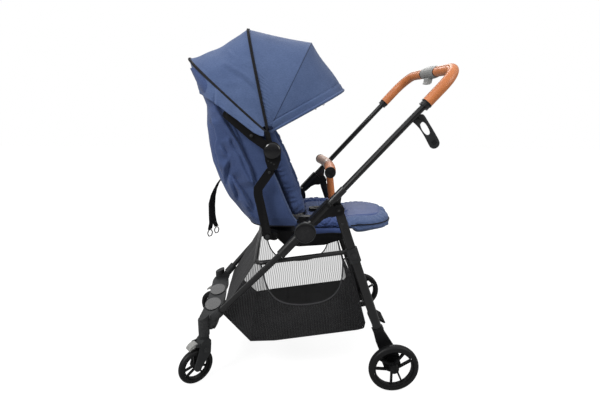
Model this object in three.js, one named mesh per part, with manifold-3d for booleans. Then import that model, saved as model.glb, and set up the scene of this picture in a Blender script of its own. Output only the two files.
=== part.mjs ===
// A reversible-seat baby stroller, modelled in millimetres with +Z up.
// The child faces +X, towards the push handle, and the stroller rolls towards -X.
// Side profiles are drawn in the X-Z plane. Left is -Y and right is +Y.
import * as THREE from 'three';
import { mergeVertices } from 'three/addons/utils/BufferGeometryUtils.js';
import Module from 'manifold-3d';

const wasm = await Module();
wasm.setup();

// ------------------------------------------------------------------ driving dimensions
const GAP = 0.3; // between pieces that touch
const SIDES = [['left', -1], ['right', 1]];

// Fold pivots: the upper frame, the rear legs and the front frame meet here, at X = 0
const PIVOT_HEIGHT = 631;
const PIVOT_PIN_RADIUS = 5;
const PIVOT_EYE_RADIUS = 14;
const PIVOT_CHEEK_RADIUS = 18;
const FRAME_HALF_WIDTH = 249; // to the tube axes
const FRAME_SLOPE = 47.7; // degrees above the horizontal
const FRAME_OFFSET = 33; // from the pivot up to the tube axis

// Stations along the frame line, from the foot of the offset, upwards
const CROSSBAR_STATION = 552;
const GRIP_STATION = 412;
const COLLAR_STATION = 397;
const STRAP_STATION = 371;
const SLEEVE_END_STATION = 59;
const BRACKET_START_STATION = -84;
const HUB_STATION = -122;
const MID_TUBE_END_STATION = -221;
const RAIL_PIN_STATION = -281;
const SOCKET_LENGTH = 40;
const SOCKET_HALF_WIDTH = FRAME_HALF_WIDTH - 51; // the front tubes slope in to the sockets

const HANDLE_TUBE_RADIUS = 10;
const MID_TUBE_RADIUS = 12.5;
const FRONT_TUBE_RADIUS = 10;
const SLEEVE_RADIUS = 12;
const GRIP_RADIUS = 17;
const HANDLE_CORNER_RADIUS = 80;
const HOUSING_LENGTH = 125;
const HOUSING_RADIUS = 20.5;
const HUB_RADIUS = 33;

// Rear legs
const LEG_LEAN = 19.6; // degrees from the vertical
const LEG_WIDTH = 30;
const LEG_THICKNESS = 18;
const LEG_HALF_WIDTH = FRAME_HALF_WIDTH + 1;
const LEG_TOP = 27; // from the pivot down the leg
const LEG_FOOT_HEIGHT = 215.6;
const LEG_LENGTH = (PIVOT_HEIGHT - LEG_FOOT_HEIGHT) / Math.cos((LEG_LEAN * Math.PI) / 180);
const SLIDER_STATION = 161;
const SLIDER_LENGTH = 50;
const SLIDER_WALL = 4;
const RAIL_RADIUS = 7.5;
const RAIL_INSET = 3.72; // between the front tubes and the rail
const RAIL_FRONT_REACH = 48.5; // from the rail's pins to its front bend

// Wheels
const REAR_AXLE_X = 54.08 + LEG_LENGTH * Math.sin((LEG_LEAN * Math.PI) / 180);
const REAR_WHEEL_RADIUS = 85.5;
const REAR_TYRE_WIDTH = 26;
const REAR_TRACK_HALF = FRAME_HALF_WIDTH + 38;
const CASTOR_REACH = 61.2; // from the foot of the frame forwards
const CASTOR_HALF_WIDTH = SOCKET_HALF_WIDTH + 1;
const CASTOR_WHEEL_RADIUS = 63;
const CASTOR_TYRE_WIDTH = 24;
const CASTOR_TRAIL = 37.5;
const CASTOR_TURN = { left: 38, right: 24 }; // degrees that each castor is swivelled outwards
const AXLE_RADIUS = 6;
const AXLE_CLEARANCE = 0.35;
const SPOKE_PAIRS = 3;

// Front cross member
const HOUSING_TOP = 233;
const HOUSING_BOTTOM = 170;
const CASTOR_HOUSING_RADIUS = 19;
const STEM_RADIUS = 8;
const FOOTREST_TOP = 209;
const FOOTREST_DEPTH = 22;
const FOOTREST_WIDTH = 68;
const FOOTREST_REACH = 51.2;
const SOCKET_RISE = 49.25; // from the footrest's top to the mouths of its sockets
const FOOTPAD_OFFSET = 60;
const FOOTPAD_WIDTH = 58;
const FOOTPAD_LENGTH = 92;

// Basket
const BASKET_WALL = 3;
const BASKET_HALF_WIDTH = FRAME_HALF_WIDTH - 45;
const BASKET_FRONT_HALF_WIDTH = SOCKET_HALF_WIDTH - 17;

// Seat unit
const ARM_HALF_WIDTH = FRAME_HALF_WIDTH - 49; // to the middle of the side arms
const TRAY_HALF_WIDTH = ARM_HALF_WIDTH - 42;
const TRAY_TOP = 530;
const TRAY_WALL = 4;
const RECLINE_PIVOT = [-223, 528];
const LEG_REST_PIVOT = [47, 520];
const LEG_REST_LENGTH = 176;
const LEG_REST_HALF_WIDTH = TRAY_HALF_WIDTH - 8;
const CUSHION_HALF_WIDTH = TRAY_HALF_WIDTH;
const CUSHION_FRONT = 41;
const CUSHION_REAR = -98;
const ARM_WIDTH = 28;
const ARM_THICKNESS = 8;
const DISC_CENTRE = [-206, 809];
const DISC_RADIUS = 27;
const BLADE_WIDTH = 40;
const BLADE_THICKNESS = 8;

// Canopy: each bow is a superellipse on its own half-plane through the canopy pivots
const CANOPY_PIVOT = [-221, 860];
const CANOPY_PIN_RADIUS = 4;
const BOW_RADIUS = 3.5;
const BOW_ROUNDNESS = 2.6;
const BOWS = {
  rear: { angle: 138.3, reach: 349, halfWidth: ARM_HALF_WIDTH - 4 },
  main: { angle: 101.6, reach: 334, halfWidth: ARM_HALF_WIDTH - 12 },
  front: { angle: 63.4, reach: 324, halfWidth: ARM_HALF_WIDTH - 20 },
  tip: { angle: 28.4, reach: 292, halfWidth: ARM_HALF_WIDTH - 28 },
};
const CANOPY_CLOTH = 3;

// Bumper bar
const BUMPER_RADIUS = 18;
const BUMPER_HALF_LENGTH = 165;
const BUMPER_CENTRE = [-4, 733];
const BUMPER_SWEEP = 14; // how far the bar's ends sit towards the child
const BUMPER_POST_RADIUS = 13;
const BUMPER_POST_FOOT = [20, 550];

// Webbing
const WEBBING_WIDTH = 20;
const WEBBING_THICKNESS = 2.4;

// ------------------------------------------------------------------ materials
function finish(color, roughness, metalness = 0) {
  return new THREE.MeshStandardMaterial({ color, roughness, metalness });
}
const satinTube = finish(0x2a2b2d, 0.35, 0.6);
const blackPlastic = finish(0x1d1e20, 0.5);
const glossBlack = finish(0x101112, 0.18);
const charcoalPlastic = finish(0x46484a, 0.55);
const greyPlastic = finish(0x8e8f8c, 0.5);
const tyreRubber = finish(0x232425, 0.7);
const tanLeather = finish(0xc8692f, 0.45);
const denimCloth = finish(0x4a5f92, 0.9);
const basketCloth = finish(0x1b1c1e, 0.95);
const webbingCloth = finish(0x141416, 0.85);

// ------------------------------------------------------------------ geometry helpers
const radians = THREE.MathUtils.degToRad;

// A closed three.js geometry as a solid that can be joined and cut.
function solid(geometry) {
  const bare = geometry.clone();
  bare.deleteAttribute('normal');
  bare.deleteAttribute('uv');
  const merged = mergeVertices(bare, 1e-3);
  const points = merged.getAttribute('position').array;
  const corner = (i) => new THREE.Vector3(points[3 * i], points[3 * i + 1], points[3 * i + 2]);
  const triangles = [];
  let volume = 0;
  for (let i = 0; i < merged.index.count; i += 3) {
    const [a, b, c] = [0, 1, 2].map((k) => merged.index.getX(i + k));
    if (a === b || b === c || c === a) continue;
    triangles.push([a, b, c]);
    volume += corner(a).dot(corner(b).cross(corner(c)));
  }
  const outward = volume > 0 ? triangles : triangles.map(([a, b, c]) => [a, c, b]);
  return new wasm.Manifold(new wasm.Mesh({
    numProp: 3,
    vertProperties: new Float32Array(points),
    triVerts: new Uint32Array(outward.flat()),
  }));
}

function union(...solids) {
  return solids.reduce((whole, next) => whole.add(next));
}

function cut(whole, ...tools) {
  return tools.reduce((rest, tool) => rest.subtract(tool), whole);
}

function geometryOf(shape) {
  const { vertProperties, triVerts } = shape.getMesh();
  const geometry = new THREE.BufferGeometry();
  geometry.setAttribute('position', new THREE.BufferAttribute(vertProperties, 3));
  geometry.setIndex(new THREE.BufferAttribute(triVerts, 1));
  geometry.computeVertexNormals();
  return geometry;
}

function addMesh(group, name, shape, material) {
  const mesh = new THREE.Mesh(geometryOf(shape), material);
  mesh.name = name;
  group.add(mesh);
  return mesh;
}

// A body that turns about or slides along a place: turning the outer group moves all it holds.
function bodyAt(parent, x, y, z) {
  const outer = new THREE.Group();
  outer.position.set(x, y, z);
  const inner = new THREE.Group();
  inner.position.set(-x, -y, -z);
  outer.add(inner);
  parent.add(outer);
  return inner;
}

function rod(x, z, radius, y0, y1, facets = 16) {
  const geometry = new THREE.CylinderGeometry(radius, radius, Math.abs(y1 - y0), facets);
  return solid(geometry.translate(x, (y0 + y1) / 2, z));
}

function post(x, y, radius, z0, z1, facets = 16) {
  const geometry = new THREE.CylinderGeometry(radius, radius, z1 - z0, facets);
  return solid(geometry.rotateX(Math.PI / 2).translate(x, y, (z0 + z1) / 2));
}

function box(x0, x1, y0, y1, z0, z1) {
  const geometry = new THREE.BoxGeometry(x1 - x0, Math.abs(y1 - y0), z1 - z0);
  return solid(geometry.translate((x0 + x1) / 2, (y0 + y1) / 2, (z0 + z1) / 2));
}

function outline(points) {
  return new THREE.Shape(points.map(([x, z]) => new THREE.Vector2(x, z)));
}

// A side profile, drawn in X and Z, as a plate between two Y values.
function plate(shape, y0, y1, curveSegments = 8) {
  const drawn = Array.isArray(shape) ? outline(shape) : shape;
  const depth = Math.abs(y1 - y0);
  const geometry = new THREE.ExtrudeGeometry(drawn, { depth, bevelEnabled: false, curveSegments });
  return solid(geometry.rotateX(Math.PI / 2).translate(0, Math.max(y0, y1), 0));
}

// A plan outline, drawn in X and Y, as a slab between two heights.
function slab(shape, z0, z1, curveSegments = 10) {
  const depth = z1 - z0;
  const geometry = new THREE.ExtrudeGeometry(shape, { depth, bevelEnabled: false, curveSegments });
  return solid(geometry.translate(0, 0, z0));
}

// A flat bar of constant width with round ends, along a route in the side plane.
function sideBar(points, width, y0, y1) {
  const pieces = [];
  for (let i = 0; i + 1 < points.length; i += 1) {
    const [x0, z0] = points[i];
    const [x1, z1] = points[i + 1];
    const angle = Math.atan2(z1 - z0, x1 - x0);
    const half = width / 2;
    const shape = new THREE.Shape();
    shape.absarc(x0, z0, half, angle + Math.PI / 2, angle + 1.5 * Math.PI);
    shape.absarc(x1, z1, half, angle - Math.PI / 2, angle + Math.PI / 2);
    pieces.push(plate(shape, y0, y1, 4));
  }
  return union(...pieces);
}

// Rings of points, one after another, skinned and closed at both ends.
function loft(rings) {
  const count = rings[0].length;
  const positions = rings.flat().flatMap((p) => [p.x, p.y, p.z]);
  const index = [];
  for (let i = 0; i + 1 < rings.length; i += 1) {
    for (let j = 0; j < count; j += 1) {
      const a = i * count + j;
      const b = i * count + ((j + 1) % count);
      index.push(a, b, b + count, a, b + count, a + count);
    }
  }
  [[0, true], [rings.length - 1, false]].forEach(([i, flipped]) => {
    const centre = new THREE.Vector3();
    rings[i].forEach((p) => centre.addScaledVector(p, 1 / count));
    const hub = positions.length / 3;
    positions.push(centre.x, centre.y, centre.z);
    for (let j = 0; j < count; j += 1) {
      const a = i * count + j;
      const b = i * count + ((j + 1) % count);
      index.push(...(flipped ? [hub, b, a] : [hub, a, b]));
    }
  });
  const geometry = new THREE.BufferGeometry();
  geometry.setAttribute('position', new THREE.Float32BufferAttribute(positions, 3));
  geometry.setIndex(index);
  return solid(geometry);
}

// A grid of points as a sheet of cloth with a thickness, and one facet pair for each cell.
function sheet(grid, thickness) {
  const rows = grid.length;
  const columns = grid[0].length;
  const at = (i, j) => {
    const row = Math.min(Math.max(i, 0), rows - 1);
    return grid[row][Math.min(Math.max(j, 0), columns - 1)];
  };
  const positions = [];
  [0.5, -0.5].forEach((share) => {
    grid.forEach((line, i) => line.forEach((point, j) => {
      const along = at(i + 1, j).clone().sub(at(i - 1, j));
      const across = at(i, j + 1).clone().sub(at(i, j - 1));
      const normal = along.cross(across).normalize();
      const place = point.clone().addScaledVector(normal, thickness * share);
      positions.push(place.x, place.y, place.z);
    }));
  });
  const index = [];
  const top = (i, j) => i * columns + j;
  const under = (i, j) => rows * columns + top(i, j);
  const quad = (a, b, c, d) => index.push(a, b, c, a, c, d);
  for (let i = 0; i + 1 < rows; i += 1) {
    for (let j = 0; j + 1 < columns; j += 1) {
      quad(top(i, j), top(i + 1, j), top(i + 1, j + 1), top(i, j + 1));
      quad(under(i, j), under(i, j + 1), under(i + 1, j + 1), under(i + 1, j));
    }
    quad(top(i + 1, 0), top(i, 0), under(i, 0), under(i + 1, 0));
    quad(top(i, columns - 1), top(i + 1, columns - 1), under(i + 1, columns - 1), under(i, columns - 1));
  }
  for (let j = 0; j + 1 < columns; j += 1) {
    quad(top(0, j), top(0, j + 1), under(0, j + 1), under(0, j));
    quad(top(rows - 1, j + 1), top(rows - 1, j), under(rows - 1, j), under(rows - 1, j + 1));
  }
  const geometry = new THREE.BufferGeometry();
  geometry.setAttribute('position', new THREE.Float32BufferAttribute(positions, 3));
  geometry.setIndex(index);
  return solid(geometry);
}

// A route through given points, with one extrusion step from each point to the next.
class Route extends THREE.Curve {
  constructor(points) {
    super();
    this.points = points;
  }

  getPoint(t, target = new THREE.Vector3()) {
    const last = this.points.length - 1;
    const i = Math.min(Math.floor(t * last + 1e-9), last - 1);
    return target.lerpVectors(this.points[i], this.points[i + 1], t * last - i);
  }

  getPointAt(t, target) {
    return this.getPoint(t, target);
  }

  getTangentAt(t, target = new THREE.Vector3()) {
    const last = this.points.length - 1;
    const i = Math.round(t * last);
    const before = this.points[Math.max(i - 1, 0)];
    const here = this.points[i];
    const after = this.points[Math.min(i + 1, last)];
    const into = here.clone().sub(before).normalize();
    const out = after.clone().sub(here).normalize();
    return target.copy(into).add(out).normalize();
  }
}

// Sharp corners of a route replaced by arcs of one radius.
function rounded(points, radius, steps = 6) {
  const route = [points[0]];
  for (let i = 1; i + 1 < points.length; i += 1) {
    const into = points[i].clone().sub(points[i - 1]).normalize();
    const out = points[i + 1].clone().sub(points[i]).normalize();
    const turn = into.angleTo(out);
    const setback = radius * Math.tan(turn / 2);
    const start = points[i].clone().addScaledVector(into, -setback);
    const inward = out.clone().addScaledVector(into, -out.dot(into)).normalize();
    const centre = start.clone().addScaledVector(inward, radius);
    for (let k = 0; k <= steps; k += 1) {
      const angle = (turn * k) / steps;
      route.push(centre.clone()
        .addScaledVector(inward, -radius * Math.cos(angle))
        .addScaledVector(into, radius * Math.sin(angle)));
    }
  }
  route.push(points[points.length - 1]);
  return route;
}

function sweep(points, section) {
  const extrudePath = new Route(points);
  const steps = points.length - 1;
  return solid(new THREE.ExtrudeGeometry(section, { steps, extrudePath, curveSegments: 1 }));
}

// A regular polygon, or an ellipse of that many sides.
function roundSection(radius, facets = 12, otherRadius = radius) {
  return outline(Array.from({ length: facets }, (_, i) => {
    const angle = (2 * Math.PI * (i + 0.5)) / facets;
    return [radius * Math.cos(angle), otherRadius * Math.sin(angle)];
  }));
}

function tube(points, radius, facets = 12) {
  return sweep(points, roundSection(radius, facets));
}

// ------------------------------------------------------------------ stations on the frame
const alongFrame = new THREE.Vector2(Math.cos(radians(FRAME_SLOPE)), Math.sin(radians(FRAME_SLOPE)));
const aboveFrame = new THREE.Vector2(-alongFrame.y, alongFrame.x);

// X and Z at a station of the frame line, and a height above it.
function onFrame(station, above = 0) {
  const offset = FRAME_OFFSET + above;
  return [
    alongFrame.x * station + aboveFrame.x * offset,
    PIVOT_HEIGHT + alongFrame.y * station + aboveFrame.y * offset,
  ];
}

function framePoint(station, y, above = 0) {
  const [x, z] = onFrame(station, above);
  return new THREE.Vector3(x, y, z);
}

function frameOutline(points) {
  return points.map(([station, above]) => onFrame(station, above));
}

// X and Z at a distance down the rear leg, and towards the rear of its axis.
function onLeg(station, rearward = 0) {
  const lean = radians(LEG_LEAN);
  return [
    Math.sin(lean) * station + Math.cos(lean) * rearward,
    PIVOT_HEIGHT - Math.cos(lean) * station + Math.sin(lean) * rearward,
  ];
}

function legPoint(station, y, rearward = 0) {
  const [x, z] = onLeg(station, rearward);
  return new THREE.Vector3(x, y, z);
}

// The front tubes end at the height of the footrest's sockets
const SOCKET_STATION = (FOOTREST_TOP + SOCKET_RISE - PIVOT_HEIGHT - aboveFrame.y * FRAME_OFFSET)
  / alongFrame.y;
const FOOT_X = onFrame(SOCKET_STATION)[0];
const CASTOR_X = FOOT_X - CASTOR_REACH;
const FOOTREST_X = FOOT_X - FOOTREST_REACH;

// Layers across each fold pivot, from the inner cheek to the outer one
const INNER_CHEEK = [FRAME_HALF_WIDTH - 14.5, FRAME_HALF_WIDTH - 9.5];
const HANDLE_EYE = [FRAME_HALF_WIDTH - 9, FRAME_HALF_WIDTH - 2];
const LEG_EYE = [FRAME_HALF_WIDTH - 1.4, FRAME_HALF_WIDTH + 9.4];
const OUTER_CHEEK = [FRAME_HALF_WIDTH + 10, FRAME_HALF_WIDTH + 14.5];
const FAR_OUT = FRAME_HALF_WIDTH + 60;

const stroller = new THREE.Group();
const chassis = new THREE.Group();
stroller.add(chassis);

// ------------------------------------------------------------------ front frame
const railPin = onFrame(RAIL_PIN_STATION);
const RAIL_FRONT = railPin[0] - RAIL_FRONT_REACH;
const RAIL_HALF_WIDTH = frontTubeY(RAIL_PIN_STATION) - FRONT_TUBE_RADIUS - RAIL_RADIUS - RAIL_INSET;
const sliderPin = onLeg(SLIDER_STATION);

function frontTubeY(station) {
  const share = (MID_TUBE_END_STATION - station) / (MID_TUBE_END_STATION - SOCKET_STATION);
  return THREE.MathUtils.lerp(FRAME_HALF_WIDTH, SOCKET_HALF_WIDTH, share);
}

function frontTubeAxis(side, from, to) {
  return [framePoint(from, side * frontTubeY(from)), framePoint(to, side * frontTubeY(to))];
}

function midTube(side) {
  const y = side * FRAME_HALF_WIDTH;
  return tube([framePoint(MID_TUBE_END_STATION, y), framePoint(0, y)], MID_TUBE_RADIUS, 16);
}

function frontTube(side) {
  const start = MID_TUBE_END_STATION - 3;
  const seat = SOCKET_STATION - SOCKET_LENGTH / 2;
  const body = tube(frontTubeAxis(side, start, seat), FRONT_TUBE_RADIUS, 16);
  const [x, z] = railPin;
  const headY = frontTubeY(RAIL_PIN_STATION) + FRONT_TUBE_RADIUS + 1.5;
  const innerY = RAIL_HALF_WIDTH + RAIL_RADIUS + GAP;
  return union(body, rod(x, z, 6, side * innerY, side * headY, 16));
}

// The fold bracket: two cheeks round the pivot, joined by a gusset that sheaths the tube's top.
function foldBracket(side) {
  const shape = new THREE.Shape();
  const [px, pz] = onFrame(0, -FRAME_OFFSET);
  const edge = frameOutline([
    [-GAP, 14.5], [BRACKET_START_STATION, 14.5], [BRACKET_START_STATION, -14.5],
    [-52, -17], [-36, -24], [-25, -36],
  ]);
  edge.forEach(([x, z], i) => (i ? shape.lineTo(x, z) : shape.moveTo(x, z)));
  const turn = radians(FRAME_SLOPE);
  shape.absarc(px, pz, PIVOT_CHEEK_RADIUS, Math.PI * 1.12 + turn, Math.PI * 2.5 + turn);
  const body = plate(shape, side * INNER_CHEEK[0], side * OUTER_CHEEK[1], 16);
  const slotY = [side * (INNER_CHEEK[1] + GAP / 2), side * (OUTER_CHEEK[0] - GAP / 2)];
  const reach = PIVOT_EYE_RADIUS + 1;
  const slot = plate(frameOutline([
    [-60, -FRAME_OFFSET - 60], [60, -FRAME_OFFSET - 60], [60, 40], [0, 40],
    [0, reach - FRAME_OFFSET], [-reach - 4, reach - FRAME_OFFSET], [-reach - 4, 5.5 - FRAME_OFFSET],
    [-60, -FRAME_OFFSET - 21],
  ]), ...slotY);
  const bore = tube([
    framePoint(BRACKET_START_STATION - 5, side * FRAME_HALF_WIDTH),
    framePoint(5, side * FRAME_HALF_WIDTH),
  ], MID_TUBE_RADIUS + GAP, 16);
  const pin = rod(0, PIVOT_HEIGHT, PIVOT_PIN_RADIUS, side * INNER_CHEEK[0], side * OUTER_CHEEK[1]);
  const head = rod(0, PIVOT_HEIGHT, 8, side * OUTER_CHEEK[1], side * (OUTER_CHEEK[1] + 2));
  const [rx, rz] = onFrame(-12, 0);
  const rivet = rod(rx, rz, 4, side * (OUTER_CHEEK[1] - 1), side * (OUTER_CHEEK[1] + 1.2), 12);
  return union(cut(body, slot, bore), pin, head, rivet);
}

// The hub clamps the mid tube; inboard it has the pocket that the seat's blade drops into.
const POCKET_INNER = FRAME_HALF_WIDTH - 35;
const POCKET_OUTER = FRAME_HALF_WIDTH - 17;
const BLADE_OUTER = POCKET_OUTER - 4.7;
const BLADE_INNER = BLADE_OUTER - BLADE_THICKNESS;
const POCKET_FLOOR = -14; // from the hub's centre
const POCKET_TOP = 30;
const [HUB_X, HUB_Z] = onFrame(HUB_STATION, -4);

function hub(side) {
  const drum = rod(HUB_X, HUB_Z, HUB_RADIUS, side * POCKET_OUTER, side * (FRAME_HALF_WIDTH + 17), 28);
  const lip = rod(HUB_X, HUB_Z, HUB_RADIUS - 4, side * (FRAME_HALF_WIDTH + 16),
    side * (FRAME_HALF_WIDTH + 20), 28);
  const half = BLADE_WIDTH / 2 + 5;
  const pocket = box(HUB_X - half, HUB_X + half, side * POCKET_INNER, side * (POCKET_OUTER + 2),
    HUB_Z + POCKET_FLOOR - 5, HUB_Z + POCKET_TOP);
  const mouth = box(HUB_X - BLADE_WIDTH / 2 - GAP, HUB_X + BLADE_WIDTH / 2 + GAP,
    side * (BLADE_INNER - GAP), side * (BLADE_OUTER + GAP), HUB_Z + POCKET_FLOOR, HUB_Z + 60);
  const bore = tube([
    framePoint(HUB_STATION - 60, side * FRAME_HALF_WIDTH),
    framePoint(HUB_STATION + 60, side * FRAME_HALF_WIDTH),
  ], MID_TUBE_RADIUS + GAP, 16);
  return cut(union(drum, lip, pocket), mouth, bore);
}

SIDES.forEach(([name, side]) => {
  addMesh(chassis, `mid_tube_${name}`, midTube(side), satinTube);
  addMesh(chassis, `front_tube_${name}`, frontTube(side), satinTube);
  addMesh(chassis, `fold_bracket_${name}`, foldBracket(side), blackPlastic);
  addMesh(chassis, `hub_${name}`, hub(side), glossBlack);
});

// ------------------------------------------------------------------ front cross member
function castorHousing(side) {
  const y = side * CASTOR_HALF_WIDTH;
  const body = post(CASTOR_X, y, CASTOR_HOUSING_RADIUS, HOUSING_BOTTOM, HOUSING_TOP + 12, 24);
  const slope = new THREE.BoxGeometry(90, 90, 40).rotateY(radians(-24));
  const above = solid(slope.translate(CASTOR_X - 8, y, HOUSING_TOP + 22));
  const bore = post(CASTOR_X, y, STEM_RADIUS + AXLE_CLEARANCE, HOUSING_BOTTOM - 5, HOUSING_TOP - 14);
  return cut(body, above, bore);
}

// The moulded footrest, ribbed underneath, with a socket for each front tube.
function footrest() {
  const left = FOOTREST_X - FOOTREST_WIDTH / 2;
  const right = FOOTREST_X + FOOTREST_WIDTH / 2;
  const reach = CASTOR_HALF_WIDTH - 6;
  const plan = new THREE.Shape();
  plan.moveTo(left, -reach + 50);
  plan.quadraticCurveTo(left, -reach, left + 14, -reach);
  plan.lineTo(right - 8, -reach);
  plan.quadraticCurveTo(right + 2, -reach + 40, right - 4, -reach + 90);
  plan.quadraticCurveTo(right + 6, 0, right - 4, reach - 90);
  plan.quadraticCurveTo(right + 2, reach - 40, right - 8, reach);
  plan.lineTo(left + 14, reach);
  plan.quadraticCurveTo(left, reach, left, reach - 50);
  plan.quadraticCurveTo(left + 12, 0, left, -reach + 50);
  let body = slab(plan, FOOTREST_TOP - FOOTREST_DEPTH, FOOTREST_TOP);
  const underside = FOOTREST_TOP - FOOTREST_DEPTH - 1;
  const bays = 4;
  const bayPitch = (2 * (reach - 34)) / bays;
  for (let i = 0; i < bays; i += 1) {
    const start = -reach + 34 + i * bayPitch;
    body = cut(body, box(left + 16, right - 12, start + 2.5, start + bayPitch - 2.5,
      underside, FOOTREST_TOP - 5));
  }
  [-1, 1].forEach((place) => {
    const pad = new THREE.CylinderGeometry(1, 1, 4, 24).rotateX(Math.PI / 2);
    pad.scale(FOOTPAD_WIDTH / 2, FOOTPAD_LENGTH / 2, 1);
    pad.translate(FOOTREST_X, place * FOOTPAD_OFFSET, FOOTREST_TOP + 1.5);
    body = body.add(solid(pad));
  });
  SIDES.forEach(([, side]) => {
    const [mouth, inner] = frontTubeAxis(side, SOCKET_STATION, SOCKET_STATION - SOCKET_LENGTH);
    const collar = tube([mouth, inner], FRONT_TUBE_RADIUS + 5.5, 16);
    const cheek = [inner.y - 12, inner.y + 12];
    const arm = plate([
      [mouth.x - 6, mouth.z - 10], [inner.x + 6, inner.z - 24], [CASTOR_X + 30, FOOTREST_TOP - 6],
      [CASTOR_X + 30, FOOTREST_TOP - FOOTREST_DEPTH + 4], [CASTOR_X + 6, FOOTREST_TOP - FOOTREST_DEPTH + 2],
      [CASTOR_X + 6, FOOTREST_TOP + 4], [inner.x - 12, inner.z + 2], [inner.x, inner.z + 8],
    ], ...cheek);
    body = union(body, collar, arm);
  });
  SIDES.forEach(([, side]) => {
    const seat = SOCKET_STATION - SOCKET_LENGTH / 2 - GAP;
    const bore = tube(frontTubeAxis(side, SOCKET_STATION + 20, seat), FRONT_TUBE_RADIUS + GAP, 16);
    const housing = post(CASTOR_X, side * CASTOR_HALF_WIDTH, CASTOR_HOUSING_RADIUS + GAP,
      HOUSING_BOTTOM - 20, HOUSING_TOP + 60, 24);
    body = cut(body, bore, housing);
  });
  return body;
}

SIDES.forEach(([name, side]) => {
  addMesh(chassis, `castor_housing_${name}`, castorHousing(side), charcoalPlastic);
});
addMesh(chassis, 'footrest', footrest(), charcoalPlastic);

// ------------------------------------------------------------------ basket
// Half width of the basket at X: it narrows towards the footrest, between the front tubes.
function basketHalfWidth(x, inset) {
  const share = THREE.MathUtils.clamp((x - FOOT_X) / 183, 0, 1);
  return THREE.MathUtils.lerp(BASKET_FRONT_HALF_WIDTH, BASKET_HALF_WIDTH, share) - inset;
}

function basketBlock(points, inset) {
  const flat = points.map(([x, z]) => new THREE.Vector2(x, z));
  const ring = (side) => flat.map((p) => (
    new THREE.Vector3(p.x, side * basketHalfWidth(p.x, inset), p.y)));
  const count = flat.length;
  const positions = [...ring(-1), ...ring(1)].flatMap((p) => [p.x, p.y, p.z]);
  const index = [];
  THREE.ShapeUtils.triangulateShape(flat, []).forEach(([a, b, c]) => {
    index.push(a, b, c, a + count, c + count, b + count);
  });
  const clockwise = THREE.ShapeUtils.isClockWise(flat);
  for (let i = 0; i < count; i += 1) {
    const j = (i + 1) % count;
    const [a, b] = clockwise ? [i, j] : [j, i];
    index.push(a, b, b + count, a, b + count, a + count);
  }
  const geometry = new THREE.BufferGeometry();
  geometry.setAttribute('position', new THREE.Float32BufferAttribute(positions, 3));
  geometry.setIndex(index);
  return solid(geometry);
}

function basket() {
  const railZ = railPin[1];
  const frontTop = [RAIL_FRONT - 4, railZ - 14];
  const rearTop = [sliderPin[0] - 6, sliderPin[1] - 26];
  const outer = basketBlock([
    frontTop, [FOOT_X + 1, 238], [FOOT_X + 98, 134], [-200, 143], [112, 182], [116, 204], rearTop,
    [-200, frontTop[1] + 4],
  ], 0);
  const t = BASKET_WALL;
  const inner = basketBlock([
    [frontTop[0] + t, frontTop[1] + 60], [frontTop[0] + t, frontTop[1]], [FOOT_X + t + 2, 238],
    [FOOT_X + 99, 134 + t], [-200, 143 + t], [112 - t, 182 + t], [116 - t, 204],
    [rearTop[0] - t, rearTop[1]], [rearTop[0] - t, rearTop[1] + 60],
  ], t);
  const scoop = new THREE.Shape();
  scoop.moveTo(-246, 520);
  scoop.lineTo(-240, 400);
  scoop.bezierCurveTo(-205, 280, -160, 284, -100, 287);
  scoop.bezierCurveTo(-10, 292, 28, 322, 30, 390);
  scoop.lineTo(30, 520);
  const rearDip = box(40, 160, -BASKET_HALF_WIDTH + 30, BASKET_HALF_WIDTH - 30, 300, 520);
  return cut(outer, inner, plate(scoop, -FAR_OUT, FAR_OUT, 8), rearDip);
}

addMesh(chassis, 'basket', basket(), basketCloth);

// ------------------------------------------------------------------ push handle
const handle = bodyAt(chassis, 0, 0, PIVOT_HEIGHT);

const handleRoute = rounded([
  framePoint(2, -FRAME_HALF_WIDTH),
  framePoint(CROSSBAR_STATION, -FRAME_HALF_WIDTH),
  framePoint(CROSSBAR_STATION, FRAME_HALF_WIDTH),
  framePoint(2, FRAME_HALF_WIDTH),
], HANDLE_CORNER_RADIUS, 6);

// The part of the handle's route from the collar round the corner to the housing.
function gripRoute(side, start) {
  const corner = handleRoute.filter((p) => p.y * side > 0 && p.distanceTo(framePoint(2, p.y)) > 5);
  const arc = side < 0 ? corner : corner.reverse();
  return [
    framePoint(start, side * FRAME_HALF_WIDTH),
    ...arc,
    framePoint(CROSSBAR_STATION, side * (HOUSING_LENGTH / 2 + GAP)),
  ];
}

function grip(side) {
  const route = gripRoute(side, GRIP_STATION + GAP);
  const sleeve = tube(route, GRIP_RADIUS, 14);
  const start = route[0].clone().add(route[0].clone().sub(route[1]).setLength(5));
  const end = route[route.length - 1].clone();
  end.y -= side * 5;
  return cut(sleeve, tube([start, ...route.slice(1, -1), end], HANDLE_TUBE_RADIUS + GAP, 12));
}

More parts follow.
